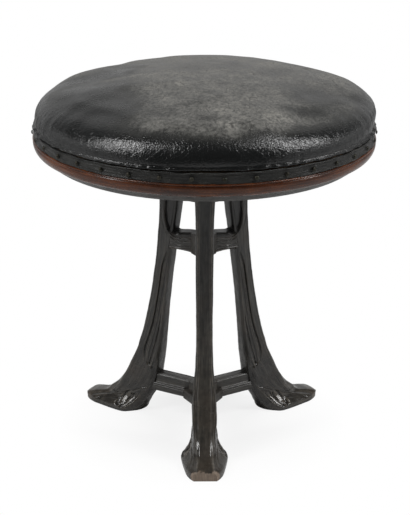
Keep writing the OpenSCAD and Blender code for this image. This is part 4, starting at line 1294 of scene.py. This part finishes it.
class MakeBand(bpy.types.Operator):
    """Makes the leather band that covers the nailed edge"""

    bl_idname = "stool.band"
    bl_label = "Leather band"

    def execute(self, context):
        low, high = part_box("leather_band")
        r, bottom, top = high.x, low.z, high.z
        inner = r - BAND_THICKNESS
        profile = [(inner, bottom)]
        for i in range(BAND_STEPS + 1):
            s = i / BAND_STEPS
            lip = 0.0012 * bell(s, 0.93, 0.08) - 0.0005 * bell(s, 0.78, 0.06) + 0.0005 * bell(s, 0.06, 0.07)
            profile.append((r - 0.0012 + lip, bottom + 0.0003 + (top + 0.0010 - bottom) * s))
        profile += [(r - 0.0022, top + 0.0014), (inner, top + 0.0010)]
        band = turned("leather_band_creased", profile, 300)
        at = points_of(band)
        angle = np.arctan2(at[:, 1], at[:, 0])
        s = (at[:, 2] - bottom) / (top - bottom)
        outer = smooth_step(inner + 0.0005, r - 0.0016, np.hypot(at[:, 0], at[:, 1]))
        change = 0.00035 * np.sin(17 * angle + 3 * s) + 0.00025 * np.sin(43 * angle + 6 * s + 1)
        change += 0.00022 * np.sin(90 * angle - 4 * s)
        change -= 0.0006 * bump(s, 0.52 + 0.06 * np.sin(5 * angle), 0.06)
        change -= 0.0004 * bump(s, 0.28 + 0.05 * np.sin(7 * angle + 2), 0.05)
        # one old split at the front right
        change -= 0.0011 * bump(angle, SPLIT_ANGLE, 0.006) * smooth_step(0.1, 0.3, s)
        at[:, 2] += outer * 0.0004 * np.sin(31 * angle + 1) * smooth_step(0.6, 1, s)
        at[:, 0] += outer * change * np.cos(angle)
        at[:, 1] += outer * change * np.sin(angle)
        place_points(band, at)
        shade(band, 60)
        finish_piece(band, "seat", "band_leather", "band", "leather_band")
        return {"FINISHED"}


NAIL_COUNT = 36
NAIL_FLATNESS = 0.72
NAIL_SINK, NAIL_UNEVEN, NAIL_WANDER, NAIL_TILT = 0.0002, 0.0005, 0.0008, 0.25


class MakeNails(bpy.types.Operator):
    """Models one domed nail and sets copies of it round the band"""

    bl_idname = "stool.nails"
    bl_label = "Nails"

    def execute(self, context):
        low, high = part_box("band_nails")
        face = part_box("leather_band")[1].x
        middle, head = (low.z + high.z) / 2, (high.z - low.z) / 2
        ball = {"segments": 14, "ring_count": 8, "radius": head}
        nail = added("band_nails_domed", bpy.ops.mesh.primitive_uv_sphere_add, **ball)
        cut = {"plane_co": (0, 0, 0.02 * head), "plane_no": (0, 0, 1), "clear_inner": True, "use_fill": True}
        edit_all(nail, lambda: bpy.ops.mesh.bisect(**cut))
        nail.data.transform(Matrix.Diagonal((1, 1, NAIL_FLATNESS, 1)))
        nail.data.transform(Matrix.Rotation(math.pi / 2, 4, "Y"))
        copies = []
        for i in range(NAIL_COUNT):
            wobble = math.sin(i * 12.9898) * 43758.5453 % 1 - 0.5
            one = copy_of(nail, "nail")
            out, up = face - NAIL_SINK - NAIL_UNEVEN * abs(wobble), middle + wobble * NAIL_WANDER
            one.data.transform(Matrix.Rotation(wobble * NAIL_TILT, 4, "Z"))
            one.data.transform(Matrix.Translation((out, 0, up)))
            turn_to(one, (i + 0.5) * 360 / NAIL_COUNT)
            copies.append(one)
        only(copies[0])
        for one in copies:
            one.select_set(True)
        bpy.ops.object.join()
        joined = bpy.context.object
        bpy.data.objects.remove(nail)
        joined.name = joined.data.name = "band_nails_domed"
        shade(joined, 50)
        finish_piece(joined, "seat", "nail_bronze", "nail", "band_nails")
        return {"FINISHED"}


LAMPS = {"lamp_left": ((-1.42, -0.66, 1.75), 34), "lamp_right": ((1.50, -0.48, 1.70), 33)}
LAMP_ACROSS, LAMP_TALL = 0.34, 1.60
LAMP_AIM = Vector((0, 0, 0.3))
CAMERA_PLACE, CAMERA_AIM = (-0.0395, -1.8496, 0.9209), Vector((0.0017, 0.0, 0.2293))
CAMERA_TILT, CAMERA_LENS = math.radians(0.35), 109.2
FLOOR_SIZE, FLOOR_DROP = 9, 0.0002


def lay_floor():
    cells = {"x_subdivisions": 4, "y_subdivisions": 4}
    floor = added("floor", bpy.ops.mesh.primitive_grid_add, size=FLOOR_SIZE, **cells)
    floor.location.z = -FLOOR_DROP
    settle(floor)
    paint = Finish("floor_paint")
    paint.surface((0.82, 0.82, 0.82), 0.55, specular=0.25)
    # away from the stool the camera sees the floor as white as the background
    glow = paint.add("Emission", {"Color": (1, 1, 1), "Strength": 1.0})
    camera = paint.add("LightPath").outputs["Is Camera Ray"]
    place = paint.add("TexCoord").outputs["Object"]
    far = paint.add("VectorMath", {0: place}, operation="LENGTH").outputs["Value"]
    seen = paint.times(camera, paint.fade(far, 0.07, 0.19, 0.80, 1.0, "LINEAR"))
    both = paint.add("MixShader", {0: seen, 1: paint.shader.outputs[0], 2: glow.outputs[0]})
    paint.join(both.outputs[0], paint.first("OUTPUT_MATERIAL").inputs["Surface"])
    floor.data.materials.append(paint.material)


def light_world(scene):
    """A studio that is white behind and beside the stool, and dim above it and behind the camera."""
    scene.world = scene.world or bpy.data.worlds.new("studio")
    scene.world.use_nodes = True
    sky = Nodes(scene.world.node_tree)
    seen = sky.add("LightPath").outputs
    way = sky.add("SeparateXYZ", {"Vector": sky.add("TexCoord").outputs["Generated"]}).outputs
    room = sky.fade(way["Y"], 0.35, 0.92, 0.07, 0.62)
    wide = sky.fade(sky.sums("ABSOLUTE", way["X"]), 0.68, 0.94, 0.0, 0.9)
    low_down = sky.fade(way["Z"], 0.16, 0.46, 1.0, 0.0)
    room = sky.sums("MAXIMUM", room, sky.times(wide, low_down))
    soft = sky.plus(sky.times(room, 0.29), 0.15)
    mirrored_ray = sky.sums("MAXIMUM", seen["Is Glossy Ray"], seen["Is Transmission Ray"])
    light = sky.blend(seen["Is Camera Ray"], sky.blend(mirrored_ray, soft, room), 1.0)
    background = sky.first("BACKGROUND")
    sky.join((1, 1, 1), background.inputs["Color"])
    sky.join(light, background.inputs["Strength"])


class MakeStage(bpy.types.Operator):
    """Sets the pale floor, the soft lamps, the white background and the camera"""

    bl_idname = "stool.stage"
    bl_label = "Stage"

    def execute(self, context):
        scene = context.scene
        lay_floor()
        light_world(scene)
        for name, (place, power) in LAMPS.items():
            lamp = added(name, bpy.ops.object.light_add, type="AREA", location=place)
            lamp.data.shape = "RECTANGLE"
            lamp.data.size, lamp.data.size_y = LAMP_ACROSS, LAMP_TALL
            lamp.data.energy = power
            lamp.rotation_euler = (LAMP_AIM - Vector(place)).to_track_quat("-Z", "Y").to_euler()
        camera = added("photo_camera", bpy.ops.object.camera_add, location=CAMERA_PLACE)
        aim = (CAMERA_AIM - camera.location).to_track_quat("-Z", "Y")
        camera.rotation_euler = (aim @ Quaternion((0, 0, 1), CAMERA_TILT)).to_euler()
        camera.data.lens = CAMERA_LENS
        camera.data.clip_start = 0.05
        scene.camera = camera
        scene.view_settings.view_transform = "Standard"
        return {"FINISHED"}


class STOOL_PT_pieces(bpy.types.Panel):
    """Lists the pieces of the stool and the sizes and colours to change"""

    bl_label = "Piano stool"
    bl_space_type = "VIEW_3D"
    bl_region_type = "UI"
    bl_category = "Piano stool"

    def draw(self, context):
        for operator in OPERATORS:
            self.layout.operator(operator.bl_idname)
        for group in (context.scene.stool_sizes, context.scene.stool_colours):
            box = self.layout.box()
            for key in group.__annotations__:
                box.prop(group, key)


WOODWORK = (MakeLegs, MakeUpperStretcher, MakeLowerStretcher, MakeIron, MakeBoards)
OPERATORS = (*WOODWORK, MakeCushion, MakeBand, MakeNails, MakeStage)
CLASSES = (StoolSizes, StoolColours, *OPERATORS, STOOL_PT_pieces)


def register():
    for item in CLASSES:
        bpy.utils.register_class(item)
    bpy.types.Scene.stool_sizes = bpy.props.PointerProperty(type=StoolSizes)
    bpy.types.Scene.stool_colours = bpy.props.PointerProperty(type=StoolColours)


def unregister():
    del bpy.types.Scene.stool_colours
    del bpy.types.Scene.stool_sizes
    for item in reversed(CLASSES):
        bpy.utils.unregister_class(item)


def main():
    register()
    bpy.ops.stool.legs()
    bpy.ops.stool.upper_stretcher()
    bpy.ops.stool.lower_stretcher()
    bpy.ops.stool.iron()
    bpy.ops.stool.boards()
    bpy.ops.stool.cushion()
    bpy.ops.stool.band()
    bpy.ops.stool.nails()
    bpy.ops.stool.stage()


if __name__ == "__main__":
    main()
